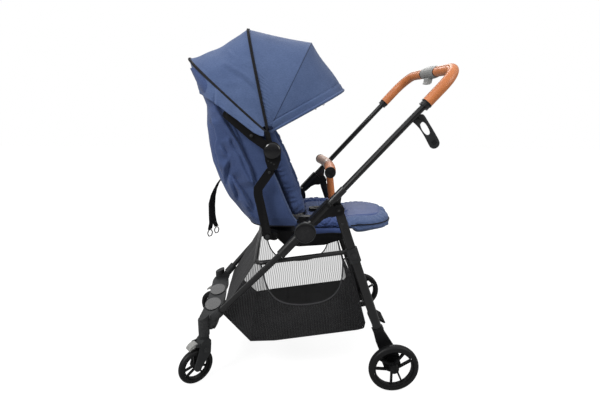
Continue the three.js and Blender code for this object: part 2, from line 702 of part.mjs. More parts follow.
function handleBar() {
  let bar = tube(handleRoute, HANDLE_TUBE_RADIUS, 12);
  SIDES.forEach(([, side]) => {
    const y = side * FRAME_HALF_WIDTH;
    const sleeve = tube([framePoint(0.6, y), framePoint(SLEEVE_END_STATION, y)], SLEEVE_RADIUS, 16);
    const collar = tube([
      framePoint(COLLAR_STATION, y), framePoint(COLLAR_STATION + 5, y),
      framePoint(GRIP_STATION - 1, y), framePoint(GRIP_STATION, y),
    ], GRIP_RADIUS - 1, 16);
    const arm = frameOutline([
      [0.6, -6], [SLEEVE_END_STATION - 20, -6], [SLEEVE_END_STATION - 22, -SLEEVE_RADIUS],
      [PIVOT_EYE_RADIUS - 1, 3 - FRAME_OFFSET], [0, -FRAME_OFFSET],
      [-PIVOT_EYE_RADIUS + 1, 3 - FRAME_OFFSET], [-PIVOT_EYE_RADIUS + 2, 9 - FRAME_OFFSET],
      [0.6, PIVOT_EYE_RADIUS - FRAME_OFFSET],
    ]);
    const tongue = union(
      plate(arm, side * HANDLE_EYE[0], side * HANDLE_EYE[1]),
      rod(0, PIVOT_HEIGHT, PIVOT_EYE_RADIUS, side * HANDLE_EYE[0], side * HANDLE_EYE[1]),
    );
    const hole = rod(0, PIVOT_HEIGHT, PIVOT_PIN_RADIUS + AXLE_CLEARANCE,
      side * (HANDLE_EYE[0] - 2), side * (HANDLE_EYE[1] + 2));
    bar = union(bar, sleeve, collar, cut(tongue, hole));
  });
  return union(bar, strapEars());
}

// The travel strap hangs from two ears under the left handle tube.
const STRAP_THICKNESS = 5;
const STRAP_DROP = 18; // from the tube axis to the strap's pivot
const STRAP_LENGTH = 104;
const STRAP_WIDTH = 36;
const STRAP_HANG = -61.4; // degrees from +X
const [STRAP_X, STRAP_Z] = onFrame(STRAP_STATION, -STRAP_DROP);

function strapEars() {
  const y = -FRAME_HALF_WIDTH;
  const half = STRAP_THICKNESS / 2;
  const ear = (inner, outer) => sideBar(
    [onFrame(STRAP_STATION, -4), [STRAP_X, STRAP_Z]], 11, y + inner, y + outer);
  return union(
    ear(half + GAP, half + 3.5),
    ear(-half - 3.5, -half - GAP),
    rod(STRAP_X, STRAP_Z, 2.5, y - half - 3, y + half + 3, 12),
  );
}

function travelStrap() {
  const half = STRAP_WIDTH / 2;
  const shape = new THREE.Shape();
  shape.absarc(0, 0, 6, Math.PI * 0.5, Math.PI * 1.5);
  shape.lineTo(8, -half + 2);
  shape.quadraticCurveTo(STRAP_LENGTH * 0.5, -half - 4, STRAP_LENGTH - 14, -half - 1);
  shape.quadraticCurveTo(STRAP_LENGTH, -half, STRAP_LENGTH, 0);
  shape.quadraticCurveTo(STRAP_LENGTH, half, STRAP_LENGTH - 14, half);
  shape.quadraticCurveTo(STRAP_LENGTH * 0.5, half - 4, 8, half - 2);
  const slot = new THREE.Path();
  slot.absarc(28, 0, 9.5, Math.PI / 2, Math.PI * 1.5);
  slot.absarc(50, -1, 9.5, -Math.PI / 2, Math.PI / 2);
  shape.holes.push(slot);
  const depth = STRAP_THICKNESS;
  const geometry = new THREE.ExtrudeGeometry(shape, { depth, bevelEnabled: false, curveSegments: 6 });
  geometry.translate(0, 0, -depth / 2).rotateX(Math.PI / 2);
  geometry.rotateY(-radians(STRAP_HANG)).translate(STRAP_X, -FRAME_HALF_WIDTH, STRAP_Z);
  const hole = rod(STRAP_X, STRAP_Z, 2.5 + AXLE_CLEARANCE, -FAR_OUT, 0, 12);
  return cut(solid(geometry), hole);
}

// The release housing wraps the middle of the crossbar; its trigger slides up into it.
const TRIGGER_LENGTH = 42;
const TRIGGER_TRAVEL = 5;
const [BAR_X, BAR_Z] = onFrame(CROSSBAR_STATION);
const TRIGGER_X = BAR_X - 6;

function releaseHousing() {
  const profile = [];
  const rings = 8;
  for (let i = 0; i <= rings; i += 1) {
    const along = -1 + (2 * i) / rings;
    const swell = Math.sqrt(Math.max(1 - along ** 4 * 0.35, 0));
    profile.push([(along * HOUSING_LENGTH) / 2, HOUSING_RADIUS * swell]);
  }
  const ring = ([y, radius]) => Array.from({ length: 18 }, (_, k) => {
    const angle = (2 * Math.PI * k) / 18;
    return new THREE.Vector3(
      BAR_X + radius * Math.cos(angle), y, BAR_Z + radius * 1.06 * Math.sin(angle));
  });
  const body = loft(profile.map(ring));
  const bore = rod(BAR_X, BAR_Z, HANDLE_TUBE_RADIUS + GAP, -HOUSING_LENGTH, HOUSING_LENGTH, 16);
  const well = box(TRIGGER_X - 8.4, TRIGGER_X + 8.4, -TRIGGER_LENGTH / 2 - 0.4, TRIGGER_LENGTH / 2 + 0.4,
    BAR_Z - 60, BAR_Z - HANDLE_TUBE_RADIUS - 1);
  return cut(body, bore, well);
}

function foldTrigger() {
  const top = BAR_Z - HANDLE_TUBE_RADIUS - 1.6 - TRIGGER_TRAVEL;
  const bottom = BAR_Z - 40;
  const points = [[-8, top - 4], [-7, top], [7, top], [8, top - 4], [6, bottom + 5], [0, bottom],
    [-12, bottom + 2], [-9, bottom + 9]];
  const lever = plate(points.map(([x, z]) => [TRIGGER_X + x, z]),
    -TRIGGER_LENGTH / 2, TRIGGER_LENGTH / 2);
  const ribs = [];
  const ribCount = 7;
  for (let i = 0; i < ribCount; i += 1) {
    const y = (i / (ribCount - 1) - 0.5) * (TRIGGER_LENGTH - 8);
    ribs.push(box(TRIGGER_X + 4, TRIGGER_X + 12, y - 1.2, y + 1.2, bottom + 3, bottom + 17));
  }
  return cut(lever, ...ribs);
}

addMesh(handle, 'handle_bar', handleBar(), satinTube);
SIDES.forEach(([name, side]) => addMesh(handle, `handle_grip_${name}`, grip(side), tanLeather));
addMesh(handle, 'release_housing', releaseHousing(), greyPlastic);
addMesh(bodyAt(handle, TRIGGER_X, 0, BAR_Z), 'fold_trigger', foldTrigger(), greyPlastic);
addMesh(bodyAt(handle, STRAP_X, -FRAME_HALF_WIDTH, STRAP_Z), 'travel_strap', travelStrap(),
  charcoalPlastic);

// ------------------------------------------------------------------ rear legs
const rearLegs = bodyAt(chassis, 0, 0, PIVOT_HEIGHT);
const AXLE_BEAM = [REAR_AXLE_X - 10, REAR_WHEEL_RADIUS + 27];
const AXLE_BEAM_RADIUS = 9;

function legSection(grow = 0) {
  const flat = (LEG_WIDTH - LEG_THICKNESS) / 2;
  const radius = LEG_THICKNESS / 2 + grow;
  const shape = new THREE.Shape();
  shape.absarc(0, flat, radius, 0, Math.PI);
  shape.absarc(0, -flat, radius, Math.PI, 2 * Math.PI);
  return shape;
}

// A straight length of the leg's oval section, grown all round by a given amount.
function legLength(side, from, to, grow = 0) {
  const depth = to - from;
  const geometry = new THREE.ExtrudeGeometry(legSection(grow),
    { depth, bevelEnabled: false, curveSegments: 7 });
  // The section's long side turns into X, and its length runs down the leg.
  geometry.rotateZ(Math.PI / 2).rotateX(Math.PI).rotateY(-radians(LEG_LEAN));
  const top = legPoint(from, side * LEG_HALF_WIDTH);
  return solid(geometry.translate(top.x, top.y, top.z));
}

function rearLeg(side) {
  const oval = legLength(side, LEG_TOP, LEG_LENGTH);
  const [x1, z1] = onLeg(LEG_TOP + 12);
  const tongue = sideBar([[0, PIVOT_HEIGHT], [x1, z1]], 2 * PIVOT_EYE_RADIUS,
    side * LEG_EYE[0], side * LEG_EYE[1]);
  const hole = rod(0, PIVOT_HEIGHT, PIVOT_PIN_RADIUS + AXLE_CLEARANCE, side * 200, side * 300);
  const [rx, rz] = onLeg(70);
  const faceY = LEG_HALF_WIDTH + LEG_THICKNESS / 2;
  const rivet = rod(rx, rz, 5, side * (faceY - 2), side * (faceY + 1.5), 12);
  return cut(union(oval, tongue, rivet), hole);
}

// The axle beam: a foot for each leg with its brake drum and stub axle, and the cross tube.
function axleBeam() {
  const [bx, bz] = AXLE_BEAM;
  const pieces = [rod(bx, bz, AXLE_BEAM_RADIUS, -LEG_HALF_WIDTH, LEG_HALF_WIDTH, 16)];
  SIDES.forEach(([, side]) => {
    const inner = side * (LEG_HALF_WIDTH - 13);
    const outer = side * (LEG_HALF_WIDTH + 13);
    const [hx, hz] = [REAR_AXLE_X, REAR_WHEEL_RADIUS];
    pieces.push(plate([
      onLeg(LEG_LENGTH + GAP, -19), onLeg(LEG_LENGTH + GAP, 19), onLeg(LEG_LENGTH + 14, 17),
      [hx + 24, hz + 34], [hx + 27, hz], [hx, hz - 24], [hx - 26, hz + 4],
      onLeg(LEG_LENGTH + 60, -20), onLeg(LEG_LENGTH + 14, -17),
    ], inner, outer));
    pieces.push(rod(hx, hz, 30, inner, side * (REAR_TRACK_HALF - 18), 24));
    pieces.push(rod(hx, hz, AXLE_RADIUS, inner, side * (REAR_TRACK_HALF + 4), 16));
  });
  return union(...pieces);
}

function brakePedal() {
  const [bx, bz] = AXLE_BEAM;
  const barrel = rod(bx, bz, AXLE_BEAM_RADIUS + 5, -30, 30, 20);
  const tread = plate([
    [bx + 4, bz + 13], [bx + 26, bz + 9], [bx + 44, bz - 2], [bx + 46, bz - 8], [bx + 40, bz - 9],
    [bx + 24, bz - 1], [bx + 6, bz - 2],
  ], -38, 38);
  const ribs = [];
  for (let i = 0; i < 4; i += 1) {
    const x = bx + 24 + i * 5.5;
    ribs.push(box(x - 1, x + 1, -33, 33, bz + 5 - i * 2.6, bz + 14));
  }
  return cut(union(barrel, tread), rod(bx, bz, AXLE_BEAM_RADIUS + AXLE_CLEARANCE, -60, 60, 24), ...ribs);
}

function legSlider(side) {
  const start = SLIDER_STATION - SLIDER_LENGTH / 2;
  const ring = legLength(side, start, start + SLIDER_LENGTH, SLIDER_WALL + GAP);
  const bore = legLength(side, start - 5, start + SLIDER_LENGTH + 5, GAP);
  const faceY = LEG_HALF_WIDTH + LEG_THICKNESS / 2 + SLIDER_WALL;
  const button = rod(...sliderPin, 11, side * (faceY - 2), side * (faceY + 2.5), 20);
  const innerFace = LEG_HALF_WIDTH - LEG_THICKNESS / 2 - GAP;
  const boss = rod(...sliderPin, 9, side * (RAIL_HALF_WIDTH + RAIL_RADIUS + GAP), side * (innerFace - 2), 16);
  return cut(union(ring, button, boss), bore);
}

SIDES.forEach(([name, side]) => addMesh(rearLegs, `rear_leg_${name}`, rearLeg(side), satinTube));
addMesh(rearLegs, 'axle_beam', axleBeam(), blackPlastic);
addMesh(bodyAt(rearLegs, AXLE_BEAM[0], 0, AXLE_BEAM[1]), 'brake_pedal', brakePedal(), blackPlastic);
const sliders = bodyAt(rearLegs, sliderPin[0], 0, sliderPin[1]);
SIDES.forEach(([name, side]) => addMesh(sliders, `leg_slider_${name}`, legSlider(side), charcoalPlastic));

// ------------------------------------------------------------------ side rail
// One bent tube: it turns on the front tubes' pins, and its ends meet the leg sliders.
const rail = bodyAt(chassis, railPin[0], 0, railPin[1]);

function sideRail() {
  const slope = (sliderPin[1] - railPin[1]) / (sliderPin[0] - railPin[0]);
  const frontZ = railPin[1] + slope * (RAIL_FRONT - railPin[0]);
  const at = (x, y, z) => new THREE.Vector3(x, y, z);
  const bar = tube(rounded([
    at(sliderPin[0], -RAIL_HALF_WIDTH, sliderPin[1]),
    at(RAIL_FRONT, -RAIL_HALF_WIDTH, frontZ),
    at(RAIL_FRONT, RAIL_HALF_WIDTH, frontZ),
    at(sliderPin[0], RAIL_HALF_WIDTH, sliderPin[1]),
  ], 24, 4), RAIL_RADIUS, 12);
  const eyes = SIDES.map(([, side]) => {
    const [inner, outer] = [RAIL_HALF_WIDTH - RAIL_RADIUS, RAIL_HALF_WIDTH + RAIL_RADIUS];
    return rod(...sliderPin, RAIL_RADIUS + 2, side * inner, side * outer, 16);
  });
  return union(bar, ...eyes);
}

addMesh(rail, 'side_rail', sideRail(), satinTube);

// ------------------------------------------------------------------ wheels
function latheWheel(profile, y, x, z, facets) {
  const points = profile.map(([radius, across]) => new THREE.Vector2(radius, across));
  return solid(new THREE.LatheGeometry(points, facets).translate(x, y, z));
}

function tyre(radius, width, x, y, z) {
  const half = width / 2;
  const inner = radius - width * 0.72;
  return latheWheel([
    [inner, -half * 0.62], [radius - 9, -half], [radius - 3, -half * 0.72], [radius, -half * 0.28],
    [radius, half * 0.28], [radius - 3, half * 0.72], [radius - 9, half], [inner, half * 0.62],
    [inner, -half * 0.62],
  ], y, x, z, 32);
}

// The rim: a ring, a hub with a blind bore, and spokes in pairs that splay from the hub.
function wheelRim(radius, width, x, y, z, outboard) {
  const ringOuter = radius - width * 0.72 - GAP;
  const ringInner = ringOuter - 5;
  const half = width * 0.31;
  const ring = latheWheel([
    [ringOuter, -half], [ringOuter, half], [ringInner, half * 0.7], [ringInner, -half * 0.7],
    [ringOuter, -half],
  ], y, x, z, 32);
  const hubRadius = radius * 0.19;
  const pieces = [ring, rod(x, z, hubRadius, y - 8 * outboard, y + 12 * outboard, 16)];
  for (let pair = 0; pair < SPOKE_PAIRS; pair += 1) {
    [-1, 1].forEach((hand) => {
      const middle = radians(43 + (360 / SPOKE_PAIRS) * pair);
      const from = middle + hand * 0.75;
      const to = middle + hand * 0.3;
      const reach = ringInner + 1.5;
      const spoke = sideBar([
        [x + hubRadius * 0.75 * Math.cos(from), z + hubRadius * 0.75 * Math.sin(from)],
        [x + reach * Math.cos(to), z + reach * Math.sin(to)],
      ], radius * 0.075, y - half * 0.6, y + half * 0.6);
      pieces.push(spoke);
    });
  }
  const outsideRing = latheWheel([
    [ringOuter + 30, -40], [ringOuter + 30, 40], [ringOuter - 0.5, 40], [ringOuter - 0.5, -40],
    [ringOuter + 30, -40],
  ], y, x, z, 32);
  const bore = rod(x, z, AXLE_RADIUS + AXLE_CLEARANCE, y - 40 * outboard, y + 4.6 * outboard);
  return cut(union(pieces[0], cut(union(...pieces.slice(1)), outsideRing)), bore);
}

SIDES.forEach(([name, side]) => {
  const y = side * REAR_TRACK_HALF;
  const wheel = bodyAt(rearLegs, REAR_AXLE_X, y, REAR_WHEEL_RADIUS);
  const place = [REAR_AXLE_X, y, REAR_WHEEL_RADIUS];
  addMesh(wheel, `rear_tyre_${name}`, tyre(REAR_WHEEL_RADIUS, REAR_TYRE_WIDTH, ...place), tyreRubber);
  addMesh(wheel, `rear_rim_${name}`,
    wheelRim(REAR_WHEEL_RADIUS, REAR_TYRE_WIDTH, ...place, side), blackPlastic);
});

// ------------------------------------------------------------------ castors
// Each is drawn trailing towards -X and then swivelled about its stem.
const FORK_TOP = HOUSING_BOTTOM - GAP;
const FORK_GAP = CASTOR_TYRE_WIDTH / 2 + 2.5;
const FORK_LEG = 6;
const WHEEL_X = -CASTOR_TRAIL;
const LOCK_PIN = [-35, 2 * CASTOR_WHEEL_RADIUS + 20];
const LOCK_PIN_RADIUS = 2.5;

function castorFork() {
  const wheelTop = 2 * CASTOR_WHEEL_RADIUS;
  const legs = [-1, 1].map((hand) => {
    const inner = hand * FORK_GAP;
    const outer = hand * (FORK_GAP + FORK_LEG);
    const shape = new THREE.Shape();
    shape.absarc(WHEEL_X, CASTOR_WHEEL_RADIUS, 13, Math.PI * 0.92, Math.PI * 1.92);
    shape.lineTo(12, wheelTop - 20);
    shape.lineTo(15, wheelTop + 14);
    shape.lineTo(-27, wheelTop + 14);
    shape.lineTo(-33, wheelTop - 14);
    return plate(shape, inner, outer, 6);
  });
  const spread = FORK_GAP + FORK_LEG;
  const crown = plate([
    [15, wheelTop + 10], [15, wheelTop + 26], [8, wheelTop + 34], [-12, wheelTop + 34],
    [-27, wheelTop + 20], [-27, wheelTop + 6],
  ], -spread, spread);
  const neck = post(0, 0, 17, wheelTop + 20, FORK_TOP, 20);
  const stem = post(0, 0, STEM_RADIUS, wheelTop + 20, HOUSING_TOP - 16);
  const axle = rod(WHEEL_X, CASTOR_WHEEL_RADIUS, AXLE_RADIUS, -spread + 1, spread - 1, 16);
  const boss = rod(-6, wheelTop - 6, 11, -spread - 2.5, spread + 2.5);
  const [lx, lz] = LOCK_PIN;
  const ears = [-1, 1].map((hand) => sideBar([[lx + 16, lz], LOCK_PIN], 11,
    hand * FORK_GAP, hand * (FORK_GAP + 5)));
  const lockPin = rod(lx, lz, LOCK_PIN_RADIUS, -FORK_GAP - 1, FORK_GAP + 1, 12);
  const wheelSpace = rod(WHEEL_X, CASTOR_WHEEL_RADIUS, CASTOR_WHEEL_RADIUS + 3, -FORK_GAP, FORK_GAP, 32);
  const frame = cut(union(...legs, crown, boss), wheelSpace);
  return union(frame, neck, stem, axle, ...ears, lockPin);
}

// The swivel lock: a foot lever hinged on the fork's crown, over the wheel.
function swivelLock() {
  const [x, z] = LOCK_PIN;
  const lever = new THREE.Shape();
  lever.absarc(x, z, 6, -Math.PI / 2, Math.PI / 2);
  lever.quadraticCurveTo(x - 16, z + 8, x - 27, z - 6);
  lever.quadraticCurveTo(x - 31, z - 12, x - 26, z - 13);
  lever.quadraticCurveTo(x - 16, z - 4, x, z - 6);
  const hole = rod(x, z, LOCK_PIN_RADIUS + AXLE_CLEARANCE, -20, 20, 12);
  return cut(plate(lever, -13, 13, 6), hole);
}

function castorRim() {
  const place = [WHEEL_X, 0, CASTOR_WHEEL_RADIUS];
  const ringOuter = CASTOR_WHEEL_RADIUS - CASTOR_TYRE_WIDTH * 0.72 - GAP;
  const half = CASTOR_TYRE_WIDTH * 0.31;
  const [x, y, z] = place;
  const ring = latheWheel([
    [ringOuter, -half], [ringOuter, half], [ringOuter - 4, half * 0.7], [ringOuter - 4, -half * 0.7],
    [ringOuter, -half],
  ], y, x, z, 32);
  const pieces = [rod(x, z, 13, -FORK_GAP + 1, FORK_GAP - 1)];
  for (let pair = 0; pair < SPOKE_PAIRS; pair += 1) {
    [-1, 1].forEach((hand) => {
      const middle = radians(80 + (360 / SPOKE_PAIRS) * pair);
      const from = middle + hand * 0.7;
      const to = middle + hand * 0.3;
      pieces.push(sideBar([
        [x + 10 * Math.cos(from), z + 10 * Math.sin(from)],
        [x + (ringOuter - 2.5) * Math.cos(to), z + (ringOuter - 2.5) * Math.sin(to)],
      ], 5, -half * 0.6, half * 0.6));
    });
  }
  const bore = rod(x, z, AXLE_RADIUS + AXLE_CLEARANCE, -40, 40);
  return cut(union(ring, ...pieces), bore);
}

SIDES.forEach(([name, side]) => {
  const castor = new THREE.Group();
  castor.position.set(CASTOR_X, side * CASTOR_HALF_WIDTH, 0);
  castor.rotation.z = -side * radians(CASTOR_TURN[name]);
  chassis.add(castor);
  addMesh(castor, `castor_fork_${name}`, castorFork(), charcoalPlastic);
  addMesh(castor, `swivel_lock_${name}`, swivelLock(), greyPlastic);
  addMesh(castor, `castor_tyre_${name}`,
    tyre(CASTOR_WHEEL_RADIUS, CASTOR_TYRE_WIDTH, WHEEL_X, 0, CASTOR_WHEEL_RADIUS), tyreRubber);
  addMesh(castor, `castor_rim_${name}`, castorRim(), blackPlastic);
});

// ------------------------------------------------------------------ seat unit
const seat = bodyAt(chassis, HUB_X, 0, HUB_Z);

// Tray with its hooks over the hubs, the ears of the recline pivots and the bumper's socket.
function postAxis(distance) {
  const [fx, fz] = BUMPER_POST_FOOT;
  const up = new THREE.Vector2(BUMPER_CENTRE[0] - fx, BUMPER_CENTRE[1] - fz).normalize();
  return new THREE.Vector3(fx + up.x * distance, 0, fz + up.y * distance);
}
const SOCKET_RIM = 38; // up the post from its foot

function seatTray() {
  const profile = [
    [-243, TRAY_TOP], [-243, 512], [-196, 509], [-168, 482], [-116, 475], [-30, 480],
    [24, 498], [40, 506], [40, TRAY_TOP],
  ];
  const t = TRAY_WALL;
  const hollow = [
    [-239, TRAY_TOP - t], [-239, 460], [36, 460], [36, TRAY_TOP - t],
  ];
  const ribs = [-150, -60, 0].map((x) => box(x - 1.5, x + 1.5, -TRAY_HALF_WIDTH + 2,
    TRAY_HALF_WIDTH - 2, 500, TRAY_TOP - 1));
  let tray = union(
    cut(plate(profile, -TRAY_HALF_WIDTH, TRAY_HALF_WIDTH),
      plate(hollow, -TRAY_HALF_WIDTH + t, TRAY_HALF_WIDTH - t)),
    ...ribs,
  );
  const [px, pz] = RECLINE_PIVOT;
  SIDES.forEach(([, side]) => {
    const armInner = ARM_HALF_WIDTH - ARM_THICKNESS / 2;
    tray = union(tray,
      sideBar([[px, pz], [px + 22, pz - 4]], 26, side * (TRAY_HALF_WIDTH - 3), side * (armInner - GAP)),
      rod(px, pz, 5, side * TRAY_HALF_WIDTH, side * (armInner + ARM_THICKNESS + 3), 16),
      rod(px, pz, 8, side * (armInner + ARM_THICKNESS + GAP), side * (armInner + ARM_THICKNESS + 3), 16));
    const hookInner = POCKET_INNER - 9;
    const half = BLADE_WIDTH / 2;
    const top = HUB_Z + POCKET_TOP + 4;
    tray = union(tray,
      box(HUB_X - half, HUB_X + half, side * BLADE_INNER, side * BLADE_OUTER,
        HUB_Z + POCKET_FLOOR + GAP, top + 2),
      box(HUB_X - half, HUB_X + half, side * hookInner, side * BLADE_OUTER, top, top + 7),
      box(HUB_X - half, HUB_X + half, side * hookInner, side * (hookInner + 6), 498, top + 2),
      box(HUB_X - half, HUB_X + half, side * (TRAY_HALF_WIDTH - 3), side * (hookInner + 6), 498, 507));
  });
  const socket = tube([postAxis(-22), postAxis(SOCKET_RIM)], BUMPER_POST_RADIUS + 5, 18);
  const below = box(-20, 60, -40, 40, 480, TRAY_TOP - t - 12);
  const bore = tube([postAxis(-GAP), postAxis(SOCKET_RIM + 20)], BUMPER_POST_RADIUS + GAP, 18);
  return cut(union(tray, cut(socket, below)), bore);
}

// Seat cushion: flat below, hollow in the middle, with a bolster along each side.
function cushionRing(x, lift) {
  const w = CUSHION_HALF_WIDTH;
  const bottom = TRAY_TOP + GAP;
  const half = [[0, 556], [60, 557], [112, 564], [138, 578], [152, 576], [w, 560], [w, 540]];
  const right = half.map(([y, z]) => new THREE.Vector3(x, y, bottom + (z - bottom) * lift));
  const corner = new THREE.Vector3(x, w - 6, bottom);
  const left = [...right].reverse().map((p) => new THREE.Vector3(p.x, -p.y, p.z)).slice(0, -1);
  return [...right, corner, new THREE.Vector3(x, -w + 6, bottom), ...left];
}

function seatCushion() {
  const stations = [[CUSHION_REAR, 0.92], [-60, 1], [-20, 1.03], [15, 0.95], [34, 0.8], [CUSHION_FRONT, 0.55]];
  const body = loft(stations.map(([x, lift]) => cushionRing(x, lift)));
  const notch = BUMPER_POST_RADIUS + 6;
  return cut(body, box(BUMPER_POST_FOOT[0] - notch - 8, 90, -notch, notch, 500, 640));
}

// Harness buckle, on the middle of the cushion.
function harnessBuckle() {
  const shape = new THREE.Shape();
  shape.moveTo(-70, -16);
  shape.lineTo(-34, -24);
  shape.quadraticCurveTo(-22, 0, -34, 24);
  shape.lineTo(-70, 16);
  shape.quadraticCurveTo(-76, 0, -70, -16);
  return union(slab(shape, 557.5, 572, 6), post(-46, 0, 9, 571, 574, 16));
}

addMesh(seat, 'seat_tray', seatTray(), blackPlastic);
addMesh(seat, 'seat_cushion', seatCushion(), denimCloth);
addMesh(seat, 'harness_buckle', harnessBuckle(), blackPlastic);

// ------------------------------------------------------------------ leg rest
const legRest = bodyAt(seat, LEG_REST_PIVOT[0], 0, LEG_REST_PIVOT[1]);

function legRestPad() {
  const [px, pz] = LEG_REST_PIVOT;
  const steps = 9;
  const rings = [];
  for (let i = 0; i <= steps; i += 1) {
    const share = i / steps;
    const x = px + 4 + LEG_REST_LENGTH * share;
    const squeeze = Math.sqrt(1 - Math.max(share - 0.35, 0) ** 2 / 0.46);
    const half = LEG_REST_HALF_WIDTH * squeeze;
    const thick = 19 * Math.min(1, 0.62 + share * 1.6, 0.45 + (1 - share) * 5);
    const middle = pz + 22 + 6 * Math.sin(share * Math.PI * 0.8);
    const ring = [[-1, -0.25], [-0.93, -0.8], [-0.6, -1], [0, -1], [0.6, -1], [0.93, -0.8], [1, -0.25],
      [1, 0.3], [0.93, 0.8], [0.6, 1], [0, 1.08], [-0.6, 1], [-0.93, 0.8], [-1, 0.3]];
    rings.push(ring.map(([u, v]) => new THREE.Vector3(x, u * half, middle + v * thick)));
  }
  const barrel = rod(px, pz, 7, -120, 120, 16);
  const web = plate([[px - 4, pz + 3], [px + 22, pz + 12], [px + 22, pz + 2], [px + 2, pz - 5]], -118, 118);
  return union(loft(rings), barrel, web);
}

addMesh(legRest, 'leg_rest', legRestPad(), denimCloth);

// ------------------------------------------------------------------ backrest
const backrest = bodyAt(seat, RECLINE_PIVOT[0], 0, RECLINE_PIVOT[1]);

// The side arm: a bent bar, the moulded joint plate with its round cap, and the canopy mount.
function sideArm(side) {
  const inner = side * (ARM_HALF_WIDTH - ARM_THICKNESS / 2);
  const outer = side * (ARM_HALF_WIDTH + ARM_THICKNESS / 2);
  const [dx, dz] = DISC_CENTRE;
  const [cx, cz] = CANOPY_PIVOT;
  const bar = sideBar([RECLINE_PIVOT, [-252, 668], [-252, 688], [-214, 742]], ARM_WIDTH, inner, outer);
  const jointPlate = plate([
    [dx - 26, dz - 6], [dx - 22, dz - 34], [dx - 12, dz - 64], [dx + 14, dz - 60], [dx + 26, dz - 30],
    [dx + 27, dz],
  ], inner, side * (ARM_HALF_WIDTH + 7));
  const upper = sideBar([[dx, dz], [dx - 64, dz + 45], [dx - 136, dz + 108]], 27, inner, outer);
  const lug = sideBar([[dx - 4, dz + 6], [cx, cz]], 16, side * ARM_HALF_WIDTH, outer);
  const disc = rod(dx, dz, DISC_RADIUS, inner, side * (ARM_HALF_WIDTH + 14), 28);
  const cap = rod(dx, dz, DISC_RADIUS - 4, side * (ARM_HALF_WIDTH + 13), side * (ARM_HALF_WIDTH + 16.5), 28);
  const pin = rod(cx, cz, CANOPY_PIN_RADIUS, side * (BOWS.front.halfWidth - 10), side * ARM_HALF_WIDTH, 14);
  const rivets = [[-216, 740], [dx - 64, dz + 45]].map(([x, z]) => (
    rod(x, z, 4.5, side * ARM_HALF_WIDTH, side * (ARM_HALF_WIDTH + 8.5), 12)));
  const hole = rod(...RECLINE_PIVOT, 5 + AXLE_CLEARANCE, side * 150, side * 250, 16);
  return cut(union(bar, jointPlate, upper, lug, disc, cap, pin, ...rivets), hole);
}

// Pad: the lean of the seat back is followed by rings that stand square to it.
const BACK_LEAN = 22; // degrees from the vertical
const BACK_START = [-78, 590]; // front of the bolsters at the lower end
const BACK_LENGTH = 330;
const PAD_HALF_WIDTH = ARM_HALF_WIDTH - 50;
const PAD_DEPTH = 64;

function onBack(distance, behind) {
  const lean = radians(BACK_LEAN);
  return [
    BACK_START[0] - Math.sin(lean) * distance - Math.cos(lean) * behind,
    BACK_START[1] + Math.cos(lean) * distance - Math.sin(lean) * behind,
  ];
}

function backPad() {
  const stations = [[0, 0.8, 0.9], [20, 0.96, 1], [120, 1, 1], [240, 0.97, 1], [310, 0.9, 0.9], [BACK_LENGTH, 0.7, 0.7]];
  const rings = stations.map(([distance, width, depth]) => {
    const w = PAD_HALF_WIDTH * width;
    const section = [[0, 38], [0.4, 36], [0.7, 30], [0.82, 8], [0.92, 0], [1, 6], [1, 50], [0.9, 60],
      [0.4, PAD_DEPTH]];
    const place = ([u, behind]) => {
      const [x, z] = onBack(distance, PAD_DEPTH - (PAD_DEPTH - behind) * depth);
      return new THREE.Vector3(x, u * w, z);
    };
    const right = section.map(place);
    const left = section.slice(1).reverse().map(([u, behind]) => place([-u, behind]));
    return [...right, ...left];
  });
  return loft(rings);
}

// Shell: the cloth tub behind the pad. Above the pad it is hollow, and it follows the rear bow.
function shellRing(z, front, rear, w, wall) {
  const r = Math.min(46, (front - rear) * 0.4);
  const half = [[front, 0], [front, w - 3], [front - r * 0.4, w], [rear + r * 1.3, w - 4],
    [rear + r * 0.5, w - 24], [rear + 2, w * 0.55], [rear, 0]];
  const right = half.map(([x, y]) => new THREE.Vector3(x + wall, Math.max(y - wall, 0), z));
  const left = right.slice(1, -1).reverse().map((p) => new THREE.Vector3(p.x, -p.y, p.z));
  return [...right, ...left];
}

// Where the shell ends against the plane of the rear bow, at a height.
function underRearBow(z) {
  const { angle, reach, halfWidth } = BOWS.rear;
  const rise = Math.max(z - CANOPY_PIVOT[1], 0);
  const clear = (BOW_RADIUS + GAP) / Math.sin(radians(angle));
  const share = Math.min(rise / Math.sin(radians(angle)) / reach, 0.995);
  return {
    x: CANOPY_PIVOT[0] + rise / Math.tan(radians(angle)) - clear,
    w: halfWidth * (1 - share ** BOW_ROUNDNESS) ** (1 / BOW_ROUNDNESS) - 2,
  };
}

function backShell() {
  const full = ARM_HALF_WIDTH - 22;
  const lower = [
    [549, -116, -290, full - 20], [580, -142, -316, full - 12], [640, -168, -360, full - 6],
    [700, -192, -389, full - 4], [760, -217, -411, full - 4], [820, -241, -420, full - 2],
    [880, -262, -424, full],
  ];
  const upper = [[915, -422], [945, -425], [975, -434], [1005, -448], [1030, -459], [1052, -470]];
  const levels = [...lower, ...upper.map(([z, rear]) => {
    const { x, w } = underRearBow(z);
    return [z, x, rear, Math.min(w, ARM_HALF_WIDTH - 16)];
  })];
  const ring = (wall) => ([z, front, rear, w]) => shellRing(z, front, rear, w, wall);
  const hollow = levels.slice(6).map(([z, front, rear, w]) => [z + (z < 900 ? 22 : 0), front + 40, rear, w]);
  hollow.push([1100, -300, -482, full - 58]);
  const padSpace = plate([
    onBack(-60, -80), onBack(400, -80), onBack(400, PAD_DEPTH + GAP), onBack(-60, PAD_DEPTH + GAP),
  ], -PAD_HALF_WIDTH - GAP, PAD_HALF_WIDTH + GAP);
  return cut(loft(levels.map(ring(0))), loft(hollow.map(ring(7))), padSpace);
}

